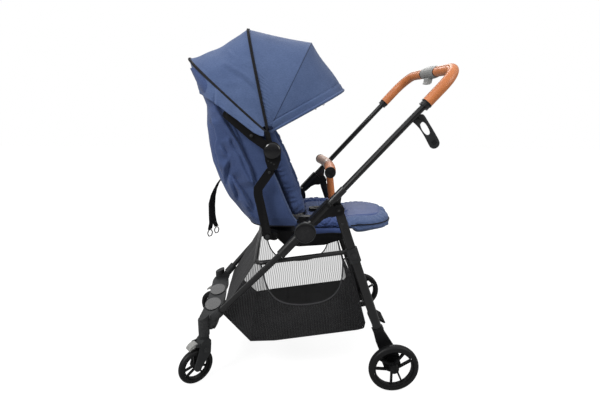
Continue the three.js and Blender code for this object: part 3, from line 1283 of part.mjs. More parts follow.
// Shoulder straps with their pads, joined above the buckle.
function harnessStraps() {
  const t = WEBBING_THICKNESS;
  const strap = (side) => {
    const route = [[34, 0.04, 22], [60, 0.173, 33], [120, 0.253, 35.7], [200, 0.28, 35.6],
      [240, 0.28, 35.3], [286, 0.28, 36.8]];
    const rings = route.map(([distance, spread, behind]) => {
      const y = spread * PAD_HALF_WIDTH;
      const w = WEBBING_WIDTH / 2 + (distance > 110 ? 6 : 0);
      const thick = distance > 110 ? 9 : t;
      const corners = [[-w, 0], [w, 0], [w, -thick], [-w, -thick]];
      return corners.map(([u, lift]) => {
        const [x, z] = onBack(distance, behind + lift);
        return new THREE.Vector3(x, side * y + u, z);
      });
    });
    return loft(rings);
  };
  return union(strap(-1), strap(1));
}

SIDES.forEach(([name, side]) => addMesh(backrest, `side_arm_${name}`, sideArm(side), blackPlastic));
addMesh(backrest, 'back_pad', backPad(), denimCloth);
addMesh(backrest, 'back_shell', backShell(), denimCloth);
addMesh(backrest, 'harness_straps', harnessStraps(), webbingCloth);

// ------------------------------------------------------------------ tether straps
// Two lengths of webbing hang from the back of the seat, each with a ring on its end.
const TETHERS = {
  left: [[-392.2, 706], [-387.6, 694], [-399, 676], [-412, 655], [-422, 632], [-430, 600], [-431, 560],
    [-431, 528], [-437, 503]],
  right: [[-392.2, 706], [-387.6, 694], [-401, 676], [-416, 655], [-427, 632], [-435, 602], [-438, 566],
    [-438, 530], [-434, 500], [-428, 484]],
};
const TETHER_OFFSET = 47;
const TETHER_TWIST = 40; // degrees that the webbing turns as it hangs
const RING_RADIUS = 12;
const RING_WIRE = 2.2;

function tetherStrap(side, route) {
  const points = route.map(([x, z]) => new THREE.Vector3(x, side * TETHER_OFFSET, z));
  const half = WEBBING_WIDTH / 2;
  return loft(points.map((p, i) => {
    const turned = radians(TETHER_TWIST * THREE.MathUtils.clamp((i - 1) / 4, 0, 1));
    const across = new THREE.Vector3(Math.sin(turned), Math.cos(turned), 0);
    const next = points[Math.min(i + 1, points.length - 1)];
    const before = points[Math.max(i - 1, 0)];
    const normal = next.clone().sub(before).cross(across).normalize();
    return [[-1, -1], [1, -1], [1, 1], [-1, 1]].map(([u, v]) => p.clone()
      .addScaledVector(across, u * half)
      .addScaledVector(normal, v * WEBBING_THICKNESS * 0.5));
  }));
}

function tetherRing(side, route) {
  const [x, z] = route[route.length - 1];
  const ring = new THREE.TorusGeometry(RING_RADIUS, RING_WIRE, 6, 16);
  ring.rotateX(Math.PI / 2).rotateZ(Math.PI / 2 - radians(TETHER_TWIST));
  return solid(ring.translate(x, side * TETHER_OFFSET, z - RING_RADIUS - RING_WIRE - 0.6));
}

SIDES.forEach(([name, side]) => {
  addMesh(backrest, `tether_strap_${name}`, tetherStrap(side, TETHERS[name]), webbingCloth);
  addMesh(backrest, `tether_ring_${name}`, tetherRing(side, TETHERS[name]), blackPlastic);
});

// ------------------------------------------------------------------ canopy
function bowPoint({ angle, reach, halfWidth }, t) {
  const power = 2 / BOW_ROUNDNESS;
  const out = reach * Math.sin(t) ** power;
  const y = -halfWidth * Math.sign(Math.cos(t)) * Math.abs(Math.cos(t)) ** power;
  return new THREE.Vector3(
    CANOPY_PIVOT[0] + out * Math.cos(radians(angle)),
    y,
    CANOPY_PIVOT[1] + out * Math.sin(radians(angle)),
  );
}

// The parameter at which a bow has come a given distance out from the pivot.
function bowStart(bow, distance) {
  return Math.asin((distance / bow.reach) ** (BOW_ROUNDNESS / 2));
}

function canopyBow(bow) {
  const start = bowStart(bow, CANOPY_PIN_RADIUS + GAP + 0.4);
  const second = bowStart(bow, 60);
  const steps = 20;
  const points = [bowPoint(bow, start)];
  for (let i = 0; i <= steps; i += 1) {
    points.push(bowPoint(bow, second + ((Math.PI - 2 * second) * i) / steps));
  }
  points.push(bowPoint(bow, Math.PI - start));
  return tube(points, BOW_RADIUS, 8);
}

// Cloth between two bows: its edges stay clear of both, and its ends are clear of the pivots.
function canopyPanel(from, to) {
  const rows = 22;
  const columns = 4;
  const clear = BOW_RADIUS + GAP + 0.2;
  const start = bowStart(from, 32);
  const grid = [];
  for (let i = 0; i <= rows; i += 1) {
    const t = start + ((Math.PI - 2 * start) * i) / rows;
    const a = bowPoint(from, t);
    const b = bowPoint(to, t);
    const share = clear / a.distanceTo(b);
    grid.push(Array.from({ length: columns + 1 }, (_, j) => (
      a.clone().lerp(b, THREE.MathUtils.lerp(share, 1 - share, j / columns)))));
  }
  return sheet(grid, CANOPY_CLOTH);
}

const canopyMain = bodyAt(backrest, CANOPY_PIVOT[0], 0, CANOPY_PIVOT[1]);
const canopyFront = bodyAt(canopyMain, CANOPY_PIVOT[0], 0, CANOPY_PIVOT[1]);
const canopyVisor = bodyAt(canopyFront, CANOPY_PIVOT[0], 0, CANOPY_PIVOT[1]);
addMesh(backrest, 'canopy_bow_rear', canopyBow(BOWS.rear), blackPlastic);
addMesh(canopyMain, 'canopy_bow_main', canopyBow(BOWS.main), blackPlastic);
addMesh(canopyFront, 'canopy_bow_front', canopyBow(BOWS.front), blackPlastic);
addMesh(canopyVisor, 'canopy_bow_tip', canopyBow(BOWS.tip), denimCloth);
addMesh(backrest, 'canopy_rear_panel', canopyPanel(BOWS.rear, BOWS.main), denimCloth);
addMesh(canopyMain, 'canopy_front_panel', canopyPanel(BOWS.main, BOWS.front), denimCloth);
addMesh(canopyFront, 'canopy_visor', canopyPanel(BOWS.front, BOWS.tip), denimCloth);

// ------------------------------------------------------------------ bumper bar
const bumper = bodyAt(seat, BUMPER_POST_FOOT[0], 0, BUMPER_POST_FOOT[1]);

function bumperRoute() {
  const steps = 8;
  return Array.from({ length: steps + 1 }, (_, i) => {
    const share = -1 + (2 * i) / steps;
    const [x, z] = BUMPER_CENTRE;
    return new THREE.Vector3(x - BUMPER_SWEEP * share * share, share * BUMPER_HALF_LENGTH, z);
  });
}

function bumperPost() {
  const length = postAxis(0).distanceTo(new THREE.Vector3(BUMPER_CENTRE[0], 0, BUMPER_CENTRE[1]));
  const collar = tube([postAxis(length - 42), postAxis(length)], BUMPER_POST_RADIUS + 1.5, 18);
  const stem = tube([postAxis(0), postAxis(length)], BUMPER_POST_RADIUS, 18);
  return cut(union(stem, collar), tube(bumperRoute(), BUMPER_RADIUS + GAP, 18));
}

addMesh(bumper, 'bumper_post', bumperPost(), tanLeather);
addMesh(bumper, 'bumper_bar', tube(bumperRoute(), BUMPER_RADIUS, 18), tanLeather);

// ------------------------------------------------------------------ origin
// The origin is under the middle of the stroller, on the floor.
const bounds = new THREE.Box3().setFromObject(stroller, true);
stroller.position.x = -(bounds.min.x + bounds.max.x) / 2;
stroller.position.z = -bounds.min.z;

export default stroller;
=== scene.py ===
import bpy
import math
from mathutils import Matrix, Vector, noise
from mathutils.bvhtree import BVHTree
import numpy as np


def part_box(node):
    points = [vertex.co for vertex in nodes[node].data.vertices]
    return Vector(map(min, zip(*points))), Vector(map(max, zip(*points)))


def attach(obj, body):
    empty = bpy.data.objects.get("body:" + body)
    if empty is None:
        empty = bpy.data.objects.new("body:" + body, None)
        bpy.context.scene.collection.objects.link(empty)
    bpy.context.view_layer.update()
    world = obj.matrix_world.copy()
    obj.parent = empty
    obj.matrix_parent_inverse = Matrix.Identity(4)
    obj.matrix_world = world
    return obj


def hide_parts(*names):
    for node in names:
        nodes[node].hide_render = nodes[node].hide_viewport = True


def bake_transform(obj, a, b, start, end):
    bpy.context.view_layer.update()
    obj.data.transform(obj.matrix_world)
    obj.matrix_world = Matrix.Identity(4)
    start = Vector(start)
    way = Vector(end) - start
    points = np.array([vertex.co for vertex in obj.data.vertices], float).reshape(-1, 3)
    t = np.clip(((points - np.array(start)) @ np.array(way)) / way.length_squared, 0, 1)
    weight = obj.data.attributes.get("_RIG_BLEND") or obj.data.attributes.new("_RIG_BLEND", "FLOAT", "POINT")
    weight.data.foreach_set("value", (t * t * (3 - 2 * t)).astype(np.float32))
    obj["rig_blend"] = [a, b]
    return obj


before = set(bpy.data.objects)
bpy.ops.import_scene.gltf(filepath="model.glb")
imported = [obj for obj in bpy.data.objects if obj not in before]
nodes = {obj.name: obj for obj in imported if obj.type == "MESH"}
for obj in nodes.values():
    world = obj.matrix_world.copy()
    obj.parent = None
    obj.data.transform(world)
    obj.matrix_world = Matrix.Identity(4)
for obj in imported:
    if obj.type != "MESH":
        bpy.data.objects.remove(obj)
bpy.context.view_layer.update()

# The frame's measures start at the fold pivots, which lie this far ahead of the rear axle.
AXLE_BEHIND_PIVOT = 0.202
wheel_low, wheel_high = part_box("rear_tyre_left")
PIVOT_X = (wheel_low[0] + wheel_high[0]) / 2 - AXLE_BEHIND_PIVOT
SIDES = (("left", -1), ("right", 1))


def at(x, y, z):
    """A place in the model, from millimetres measured at the fold pivots."""
    return Vector((x / 1000 + PIVOT_X, y / 1000, z / 1000))


def millimetres(place):
    """Millimetres at the fold pivots, from a place in the model."""
    return Vector(((place.x - PIVOT_X) * 1000, place.y * 1000, place.z * 1000))


# ------------------------------------------------------------------ nodes
def plug(tree, source, socket):
    """Links a socket, or gives it a plain value."""
    if isinstance(source, bpy.types.NodeSocket):
        tree.links.new(source, socket)
    else:
        socket.default_value = source


def put(tree, kind, sockets=(), **settings):
    """Adds a node, sets its properties and named inputs, and plugs in what feeds it."""
    made = tree.nodes.new(kind)
    for key, value in settings.items():
        if hasattr(made, key):
            setattr(made, key, value)
        else:
            made.inputs[key.replace("_", " ")].default_value = value
    for name, source in dict(sockets).items():
        plug(tree, source, made.inputs[name])
    return made


def blend_colours(tree, first, second, factor):
    mix = put(tree, "ShaderNodeMix", data_type="RGBA")
    for index, source in ((0, factor), (6, first), (7, second)):
        plug(tree, source, mix.inputs[index])
    return mix.outputs[2]


def maths(tree, operation, first, second=0.0):
    return put(tree, "ShaderNodeMath", {0: first, 1: second}, operation=operation).outputs[0]


def stepped(tree, value, low, high, to_low=0.0, to_high=1.0):
    """Maps a value's range onto another, clamped."""
    ends = {"Value": value, "From Min": low, "From Max": high, "To Min": to_low, "To Max": to_high}
    return put(tree, "ShaderNodeMapRange", ends).outputs["Result"]


def clouds(tree, place, scale, detail, roughness=0.5):
    """Soft noise; its scale is a number or a socket."""
    return put(tree, "ShaderNodeTexNoise", {"Vector": place, "Scale": scale}, Detail=detail,
               Roughness=roughness).outputs["Fac"]


def own_space(tree):
    """Coordinates in the piece's own space."""
    return put(tree, "ShaderNodeTexCoord").outputs["Object"]


def new_material(name, roughness=0.5, metallic=0.0, **shader):
    """A node material, with numbers set on the shader's own sockets."""
    material = bpy.data.materials.new(name)
    material.use_nodes = True
    tree = material.node_tree
    surface = tree.nodes["Principled BSDF"]
    surface.inputs["Roughness"].default_value = roughness
    surface.inputs["Metallic"].default_value = metallic
    for key, value in shader.items():
        surface.inputs[key.replace("_", " ")].default_value = value
    return material, tree, surface


# ------------------------------------------------------------------ camera and studio
CAMERA_PLACE = (-183.9, -1450.8, 957.9)
CAMERA_PITCH, CAMERA_YAW, CAMERA_ROLL = (math.radians(angle) for angle in (-13.823, 3.023, 0.7016))
LENS, SENSOR = 24, 36
SKY_LOW, SKY_HIGH = 0.2, 0.95
FLOOR_SEEN, FLOOR_UNSEEN = 0.9, 0.3
FLOOR_GLOW, GLOW_SHARE = 1.12, 0.8
LAMP_AIM = (0, 0, 0.6)
LAMPS = (("key_softbox", (-2.1, -1.7, 2.6), 1.1, 74), ("fill_softbox", (2.5, -1.3, 2.0), 1.5, 30),
         ("rim_softbox", (0.2, 2.4, 2.6), 1.6, 34))


def add_camera():
    pitch, yaw, roll = CAMERA_PITCH, CAMERA_YAW, CAMERA_ROLL
    forward = Vector((math.sin(yaw) * math.cos(pitch), math.cos(yaw) * math.cos(pitch), math.sin(pitch)))
    level = Vector((math.cos(yaw), -math.sin(yaw), 0))
    upright = level.cross(forward)
    right = level * math.cos(roll) + upright * math.sin(roll)
    up = upright * math.cos(roll) - level * math.sin(roll)
    bpy.ops.object.camera_add(location=at(*CAMERA_PLACE))
    camera = bpy.context.object
    camera.name = "studio_camera"
    turn = Matrix((right, up, -forward)).transposed().to_4x4()
    camera.matrix_world = Matrix.Translation(camera.location) @ turn
    camera.data.lens = LENS
    camera.data.sensor_width = SENSOR
    camera.data.clip_start = 0.05
    bpy.context.scene.camera = camera


def add_light(name, place, size, watts):
    bpy.ops.object.light_add(type="AREA", location=place)
    lamp = bpy.context.object
    lamp.name = name
    lamp.data.energy = watts
    lamp.data.size = size
    lamp.rotation_euler = (Vector(LAMP_AIM) - Vector(place)).to_track_quat("-Z", "Y").to_euler()


def seen_directly(tree):
    """1 for the rays that should see plain white, and 0 for the rest."""
    path = put(tree, "ShaderNodeLightPath")
    return maths(tree, "MAXIMUM", path.outputs["Is Camera Ray"], path.outputs["Is Transmission Ray"])


def add_world():
    """A sky that is brighter overhead than at the horizon, and plain white where it is seen directly."""
    world = bpy.data.worlds.new("studio_world")
    bpy.context.scene.world = world
    world.use_nodes = True
    tree = world.node_tree
    tree.nodes.clear()
    toward = put(tree, "ShaderNodeTexCoord").outputs["Generated"]
    height = put(tree, "ShaderNodeSeparateXYZ", {0: toward}).outputs["Z"]
    strength = stepped(tree, height, 0.0, 0.85, SKY_LOW, SKY_HIGH)
    soft = put(tree, "ShaderNodeBackground", {"Color": (1, 1, 1, 1), "Strength": strength})
    white = put(tree, "ShaderNodeBackground", {"Color": (1, 1, 1, 1)})
    mix = put(tree, "ShaderNodeMixShader", {0: seen_directly(tree), 1: soft.outputs[0], 2: white.outputs[0]})
    put(tree, "ShaderNodeOutputWorld", {"Surface": mix.outputs[0]})


def add_floor():
    """A pale floor that glows where it is seen directly and keeps the shadow."""
    bpy.ops.mesh.primitive_plane_add(size=14, location=(0, 0, -0.0005))
    floor = bpy.context.object
    floor.name = "studio_floor"
    material, tree, paint = new_material("studio_floor", 0.9)
    seen = seen_directly(tree)
    plug(tree, stepped(tree, seen, 0, 1, FLOOR_UNSEEN, FLOOR_SEEN), paint.inputs["Base Color"])
    glow = put(tree, "ShaderNodeEmission", Strength=FLOOR_GLOW)
    share = maths(tree, "MULTIPLY", seen, GLOW_SHARE)
    mix = put(tree, "ShaderNodeMixShader", {0: share, 1: paint.outputs[0], 2: glow.outputs[0]})
    plug(tree, mix.outputs[0], tree.nodes["Material Output"].inputs["Surface"])
    floor.data.materials.append(material)


def add_studio():
    add_world()
    add_floor()
    for name, place, size, watts in LAMPS:
        add_light(name, place, size, watts)
    bpy.context.scene.view_settings.view_transform = "Standard"


# ------------------------------------------------------------------ node groups
def new_group(name, inputs, outputs):
    """A node group with named sockets; returns it with its input and output nodes."""
    group = bpy.data.node_groups.new(name, "ShaderNodeTree")
    for label, value in inputs.items():
        kind = "NodeSocketColor" if isinstance(value, tuple) else "NodeSocketFloat"
        group.interface.new_socket(label, in_out="INPUT", socket_type=kind).default_value = value
    for label in outputs:
        kind = "NodeSocketColor" if label == "Colour" else "NodeSocketFloat"
        group.interface.new_socket(label, in_out="OUTPUT", socket_type=kind)
    return group, group.nodes.new("NodeGroupInput").outputs, group.nodes.new("NodeGroupOutput")


def give(group, out, **results):
    """Plugs the results into the group's outputs."""
    for name, source in results.items():
        group.links.new(source, out.inputs[name])
    return group


def heathered_weave():
    """Two yarns of one colour family, woven over and under, with cloudy variation."""
    group, given, out = new_group(
        "Heathered weave", {"Dark Yarn": (0.05, 0.09, 0.22, 1), "Light Yarn": (0.2, 0.27, 0.45, 1),
                            "Yarn Size": 0.9, "Heather": 0.5}, ("Colour", "Height"))
    place = own_space(group)
    scale = maths(group, "DIVIDE", 1000.0, given["Yarn Size"])
    yarns = []
    for direction in ("X", "Y", "Z"):
        feed = {"Vector": place, "Scale": maths(group, "MULTIPLY", scale, 0.32)}
        yarn = put(group, "ShaderNodeTexWave", feed, bands_direction=direction, Distortion=0.6, Detail=1.0,
                   Detail_Scale=2.0)
        yarns.append(yarn.outputs["Fac"])
    woven = maths(group, "MULTIPLY", maths(group, "ADD", yarns[0], yarns[1]), yarns[2])
    fleck = clouds(group, place, maths(group, "MULTIPLY", scale, 0.55), 3.0, 0.7)
    stretched = put(group, "ShaderNodeMapping", {"Vector": place}, Scale=(1.0, 1.0, 5.0)).outputs[0]
    streak = clouds(group, stretched, 150.0, 4.0, 0.75)
    cloud = clouds(group, place, 9.0, 3.0, 0.6)
    mixed = maths(group, "ADD", maths(group, "MULTIPLY", stepped(group, fleck, 0.36, 0.64), 0.5),
                  maths(group, "MULTIPLY", stepped(group, streak, 0.38, 0.62), 0.5))
    share = maths(group, "MULTIPLY", mixed, given["Heather"])
    share = maths(group, "ADD", share, stepped(group, cloud, 0.3, 0.7, 0.0, 0.26))
    colour = blend_colours(group, given["Dark Yarn"], given["Light Yarn"], share)
    return give(group, out, Colour=colour, Height=woven)


def moulded_grain():
    """Fine spark-eroded grain with a slight unevenness of colour."""
    group, given, out = new_group(
        "Moulded grain", {"Base": (0.03, 0.03, 0.03, 1), "Grain": 900.0, "Variation": 0.25, "Low Gloss": 0.62,
                          "High Gloss": 0.42}, ("Colour", "Roughness", "Height"))
    place = own_space(group)
    grain = clouds(group, place, given["Grain"], 2.0, 0.8)
    patch = clouds(group, place, 14.0, 4.0, 0.6)
    shade = maths(group, "MULTIPLY", stepped(group, patch, 0.3, 0.7, -0.5, 0.5), given["Variation"])
    value = maths(group, "ADD", shade, 1.0)
    bright = put(group, "ShaderNodeHueSaturation", {"Color": given["Base"], "Value": value})
    gloss = put(group, "ShaderNodeMix", {0: patch, 2: given["Low Gloss"], 3: given["High Gloss"]})
    return give(group, out, Colour=bright.outputs[0], Roughness=gloss.outputs[0], Height=grain)


def edge_wear():
    """A mask of rubbed edges, broken up by noise."""
    group, given, out = new_group("Edge wear", {"Amount": 0.4}, ("Mask",))
    sharp = put(group, "ShaderNodeNewGeometry").outputs["Pointiness"]
    broken = clouds(group, own_space(group), 160.0, 4.0, 0.7)
    mask = maths(group, "MULTIPLY", stepped(group, sharp, 0.52, 0.6), stepped(group, broken, 0.4, 0.65))
    return give(group, out, Mask=maths(group, "MULTIPLY", mask, given["Amount"]))


def leather_grain():
    """Pebbled hide: small cells, soft creases drawn darker as painted shade, and a cloudy colour."""
    group, given, out = new_group(
        "Leather grain", {"Hide": (0.5, 0.17, 0.05, 1), "Dark Hide": (0.28, 0.08, 0.02, 1), "Pebble": 420.0},
        ("Colour", "Roughness", "Height"))
    place = own_space(group)
    cells = put(group, "ShaderNodeTexVoronoi", {"Vector": place, "Scale": given["Pebble"]},
                feature="DISTANCE_TO_EDGE").outputs["Distance"]
    cloud = clouds(group, place, 26.0, 5.0, 0.65)
    crease = stepped(group, cells, 0.0, 0.12)
    tone = stepped(group, cloud, 0.35, 0.7, 0.0, 0.5)
    colour = blend_colours(group, given["Hide"], given["Dark Hide"], tone)
    # painted shade: the creases between the pebbles are drawn towards the dark hide
    colour = blend_colours(group, given["Dark Hide"], colour, stepped(group, crease, 0.0, 1.0, 0.72, 1.0))
    return give(group, out, Colour=colour, Roughness=stepped(group, cloud, 0.3, 0.7, 0.36, 0.5), Height=crease)


FULL_TURN_PER_MM = 6283.2


def open_mesh():
    """A mask of the upright ribs and the threads of a net, drawn across X and Z of the cloth's own space."""
    group, given, out = new_group(
        "Open mesh", {"Rib Pitch": 9.0, "Hole Pitch": 2.2, "Thread": 0.3, "Rib": 0.35}, ("Mask", "Height"))
    place = own_space(group)
    split = put(group, "ShaderNodeSeparateXYZ", {"Vector": place}).outputs
    lean = maths(group, "ADD", split["X"], maths(group, "MULTIPLY", split["Z"], 0.12))
    across = maths(group, "ADD", lean, maths(group, "MULTIPLY", clouds(group, place, 14.0, 2.0), 0.012))
    per_rib = maths(group, "DIVIDE", FULL_TURN_PER_MM, given["Rib Pitch"])
    wave = maths(group, "SINE", maths(group, "MULTIPLY", across, per_rib))
    rib = stepped(group, wave, -0.5, 0.9)
    per_hole = maths(group, "DIVIDE", FULL_TURN_PER_MM, given["Hole Pitch"])
    rows = maths(group, "SINE", maths(group, "MULTIPLY", split["Z"], per_hole))
    thread = maths(group, "MULTIPLY", stepped(group, rows, 0.2, 1.0), given["Thread"])
    cover = maths(group, "ADD", thread, maths(group, "MULTIPLY", rib, given["Rib"]))
    return give(group, out, Mask=cover, Height=wave)


WEAVE = heathered_weave()
GRAIN = moulded_grain()
WEAR = edge_wear()
HIDE = leather_grain()
MESH = open_mesh()


# ------------------------------------------------------------------ materials
def use_group(tree, group, **values):
    """Places a node group with its own values, and gives its outputs."""
    node = put(tree, "ShaderNodeGroup", node_tree=group)
    for key, value in values.items():
        node.inputs[key.replace("_", " ")].default_value = value
    return node.outputs


def add_bump(tree, surface, height, strength, distance):
    bump = put(tree, "ShaderNodeBump", {"Height": height, "Strength": strength, "Distance": distance})
    plug(tree, bump.outputs[0], surface.inputs["Normal"])


def cloth(name, dark, light, yarn=0.9, heather=0.5, roughness=0.85, sheen=0.14, bump=0.5):
    material, tree, surface = new_material(name, roughness, Sheen_Weight=sheen, Sheen_Roughness=0.5,
                                           Specular_IOR_Level=0.25)
    weave = use_group(tree, WEAVE, Dark_Yarn=(*dark, 1), Light_Yarn=(*light, 1), Yarn_Size=yarn,
                      Heather=heather)
    plug(tree, weave["Colour"], surface.inputs["Base Color"])
    add_bump(tree, surface, weave["Height"], bump, 0.0004)
    return material


def plastic(name, colour, low_gloss, high_gloss, grain=900.0, variation=0.25, worn=0.2, wear=0.25, bump=0.12,
            metallic=0.0, coat=0.0, shine=0.2):
    """Grained plastic, or metal, that is rubbed to a paler grey along its edges."""
    material, tree, surface = new_material(name, 0.5, metallic, Coat_Weight=coat, Coat_Roughness=0.12,
                                           Specular_IOR_Level=shine)
    made = use_group(tree, GRAIN, Base=(*colour, 1), Grain=grain, Variation=variation, Low_Gloss=low_gloss,
                     High_Gloss=high_gloss)
    rubbed = use_group(tree, WEAR, Amount=wear)
    colour_out = blend_colours(tree, made["Colour"], (worn, worn, worn, 1), rubbed["Mask"])
    plug(tree, colour_out, surface.inputs["Base Color"])
    plug(tree, made["Roughness"], surface.inputs["Roughness"])
    add_bump(tree, surface, made["Height"], bump, 0.0002)
    return material


def dotted_rubber(name, colour, pitch=4.2):
    """Rubber covered in small raised dots, with painted shade darkening the hollows between them."""
    material, tree, surface = new_material(name, 0.6, Specular_IOR_Level=0.3)
    dots = put(tree, "ShaderNodeTexVoronoi", {"Vector": own_space(tree)}, voronoi_dimensions="2D",
               Scale=1000 / pitch, Randomness=0.0).outputs["Distance"]
    raised = stepped(tree, dots, 0.3, 0.42, 1.0, 0.0)
    # painted shade: the hollows between the dots are drawn at 0.45 of the rubber's colour
    colour_with_painted_shade = blend_colours(tree, (*[c * 0.45 for c in colour], 1), (*colour, 1), raised)
    plug(tree, colour_with_painted_shade, surface.inputs["Base Color"])
    add_bump(tree, surface, raised, 0.6, 0.0008)
    return material


def leather(name, hide, dark):
    material, tree, surface = new_material(name, 0.45, Coat_Weight=0.12, Coat_Roughness=0.3)
    made = use_group(tree, HIDE, Hide=(*hide, 1), Dark_Hide=(*dark, 1))
    plug(tree, made["Colour"], surface.inputs["Base Color"])
    plug(tree, made["Roughness"], surface.inputs["Roughness"])
    add_bump(tree, surface, made["Height"], 0.35, 0.0004)
    return material


# What fine threads, too small to see one by one, cover of the net between its ribs
NET_COVER = 0.3


def mesh_cloth(name, thread):
    material, tree, surface = new_material(name, 0.8)
    threads = use_group(tree, MESH, Rib_Pitch=9.0, Hole_Pitch=5.0, Thread=0.1, Rib=0.34)
    plug(tree, maths(tree, "ADD", threads["Mask"], NET_COVER), surface.inputs["Alpha"])
    patch = put(tree, "ShaderNodeTexNoise", Scale=60.0, Detail=3.0).outputs["Fac"]
    share = stepped(tree, patch, 0.35, 0.65)
    colour = blend_colours(tree, (*thread, 1), (*[c * 1.8 for c in thread], 1), share)
    plug(tree, colour, surface.inputs["Base Color"])
    add_bump(tree, surface, threads["Height"], 0.4, 0.0004)
    return material


DENIM = cloth("denim_blue_cloth", (0.036, 0.064, 0.155), (0.125, 0.18, 0.33))
DENIM_SEAT = cloth("denim_blue_seat_cloth", (0.026, 0.047, 0.135), (0.085, 0.13, 0.275), heather=0.45)
DENIM_SMOOTH = cloth("smooth_blue_lining", (0.03, 0.055, 0.17), (0.07, 0.11, 0.27), yarn=0.5, heather=0.3,
                     roughness=0.5, sheen=0.1, bump=0.2)
# painted highlight: a lighter copy of the denim for the lit fold along the shell's wing edge
DENIM_PAINTED_HIGHLIGHT = cloth("denim_piping_painted_highlight", (0.09, 0.13, 0.27), (0.2, 0.27, 0.45), yarn=0.8)
PIPING = cloth("black_piping", (0.004, 0.004, 0.005), (0.02, 0.02, 0.022), yarn=1.2, bump=0.7, sheen=0.03)
SEAM = cloth("dark_blue_seam", (0.012, 0.02, 0.05), (0.04, 0.06, 0.12), yarn=1.0)
WEBBING = cloth("black_webbing", (0.004, 0.004, 0.005), (0.02, 0.02, 0.022), yarn=1.6, heather=0.6, bump=0.9,
                sheen=0.04)
BASKET_NYLON = cloth("charcoal_nylon", (0.01, 0.01, 0.011), (0.034, 0.034, 0.036), yarn=0.6, heather=0.35,
                     roughness=0.55, bump=0.3, sheen=0.02)
BASKET_BLACK = cloth("black_basket_cloth", (0.004, 0.004, 0.0045), (0.013, 0.013, 0.014), yarn=0.7,
                     heather=0.4, roughness=0.8, bump=0.4, sheen=0.0)
EDGE_TAPE = cloth("charcoal_edge_tape", (0.028, 0.028, 0.03), (0.07, 0.07, 0.075), yarn=1.0, bump=0.6,
                  sheen=0.05)
BASKET_MESH = mesh_cloth("black_basket_mesh", (0.012, 0.012, 0.013))
TUBE_BLACK = plastic("satin_black_tube", (0.006, 0.006, 0.0065), 0.36, 0.26, grain=1500.0, variation=0.15,
                     worn=0.06, wear=0.1, bump=0.01, coat=0.3, shine=0.35)
PLASTIC_BLACK = plastic("black_grained_plastic", (0.005, 0.005, 0.0055), 0.5, 0.36, worn=0.05, shine=0.14)
PLASTIC_CHARCOAL = plastic("charcoal_plastic", (0.02, 0.021, 0.022), 0.54, 0.42, worn=0.09)
PLASTIC_GREY = plastic("grey_plastic", (0.24, 0.24, 0.23), 0.55, 0.42, worn=0.5)
GLOSS_BLACK = plastic("gloss_black_cap", (0.004, 0.004, 0.005), 0.2, 0.1, grain=300.0, wear=0.05, bump=0.01,
                      coat=0.35, shine=0.3)
TYRE = plastic("foam_tyre", (0.007, 0.007, 0.0075), 0.5, 0.4, grain=1600.0, worn=0.03, wear=0.3, bump=0.2)
# the mid grey of the foot pads is painted light: it stands for the light they catch from above
RUBBER_DOTS_PAINTED_LIGHT = dotted_rubber("dotted_rubber", (0.2, 0.2, 0.2))
TAN = leather("tan_leather", (0.62, 0.2, 0.055), (0.36, 0.1, 0.028))
# painted sheen: a paler copy of the tan leather that stands for the light the bar's far half catches
TAN_PAINTED_SHEEN = leather("tan_leather_painted_sheen", (0.72, 0.45, 0.33), (0.55, 0.3, 0.2))
TAN_STITCH = cloth("tan_stitching", (0.3, 0.09, 0.03), (0.62, 0.3, 0.12), yarn=1.0, bump=0.8)
RING_METAL = plastic("brushed_ring", (0.55, 0.54, 0.52), 0.4, 0.28, metallic=0.9, wear=0.1, worn=0.8)


def finish(piece, material, body=None):
    """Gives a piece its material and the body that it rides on."""
    piece.data.materials.clear()
    piece.data.materials.append(material)
    if body:
        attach(piece, body)
    return piece


# ------------------------------------------------------------------ modelling helpers
def pick(*pieces):
    """Selects these pieces alone, the first of them active."""
    if bpy.context.mode != "OBJECT":
        bpy.ops.object.mode_set(mode="OBJECT")
    bpy.ops.object.select_all(action="DESELECT")
    for piece in pieces:
        piece.select_set(True)
    bpy.context.view_layer.objects.active = pieces[0]
    return pieces[0]


def select_mesh():
    bpy.ops.mesh.select_all(action="SELECT")


def named(name):
    """Names the new primitive and its mesh."""
    piece = bpy.context.object
    piece.name = name
    piece.data.name = name
    return piece


def soften(piece, angle=35):
    pick(piece)
    bpy.ops.object.shade_smooth_by_angle(angle=math.radians(angle))
    return piece


def apply_modifier(piece, kind, **settings):
    pick(piece)
    modifier = piece.modifiers.new(kind.lower(), kind)
    for key, value in settings.items():
        setattr(modifier, key, value)
    bpy.ops.object.modifier_apply(modifier=modifier.name)
    return piece


def outward(piece, doubles=1e-6):
    """Merges doubles and turns every face outwards."""
    pick(piece)
    bpy.ops.object.mode_set(mode="EDIT")
    select_mesh()
    bpy.ops.mesh.remove_doubles(threshold=doubles)
    bpy.ops.mesh.normals_make_consistent(inside=False)
    bpy.ops.object.mode_set(mode="OBJECT")
    return piece


def running_lengths(points):
    """How far along a line each of its points lies."""
    run = [0.0]
    for before, here in zip(points, points[1:]):
        run.append(run[-1] + (here - before).length)
    return run


def cloth_grid(name, rows):
    """A sheet through rows of points: a grid primitive laid over them, with a UV map in metres."""
    height, width = len(rows), len(rows[0])
    bpy.ops.object.select_all(action="DESELECT")
    bpy.ops.mesh.primitive_grid_add(x_subdivisions=width - 1, y_subdivisions=height - 1, size=1)
    piece = named(name)
    across = [running_lengths(row) for row in rows]
    along = [running_lengths(column) for column in zip(*rows)]
    for i, row in enumerate(rows):
        for j, place in enumerate(row):
            piece.data.vertices[i * width + j].co = place
    layer = piece.data.uv_layers.active
    for loop in piece.data.loops:
        i, j = divmod(loop.vertex_index, width)
        layer.data[loop.index].uv = (across[i][j], along[j][i])
    bpy.ops.object.shade_smooth()
    return piece


def length_of(points):
    return sum((b - a).length for a, b in zip(points, points[1:]))


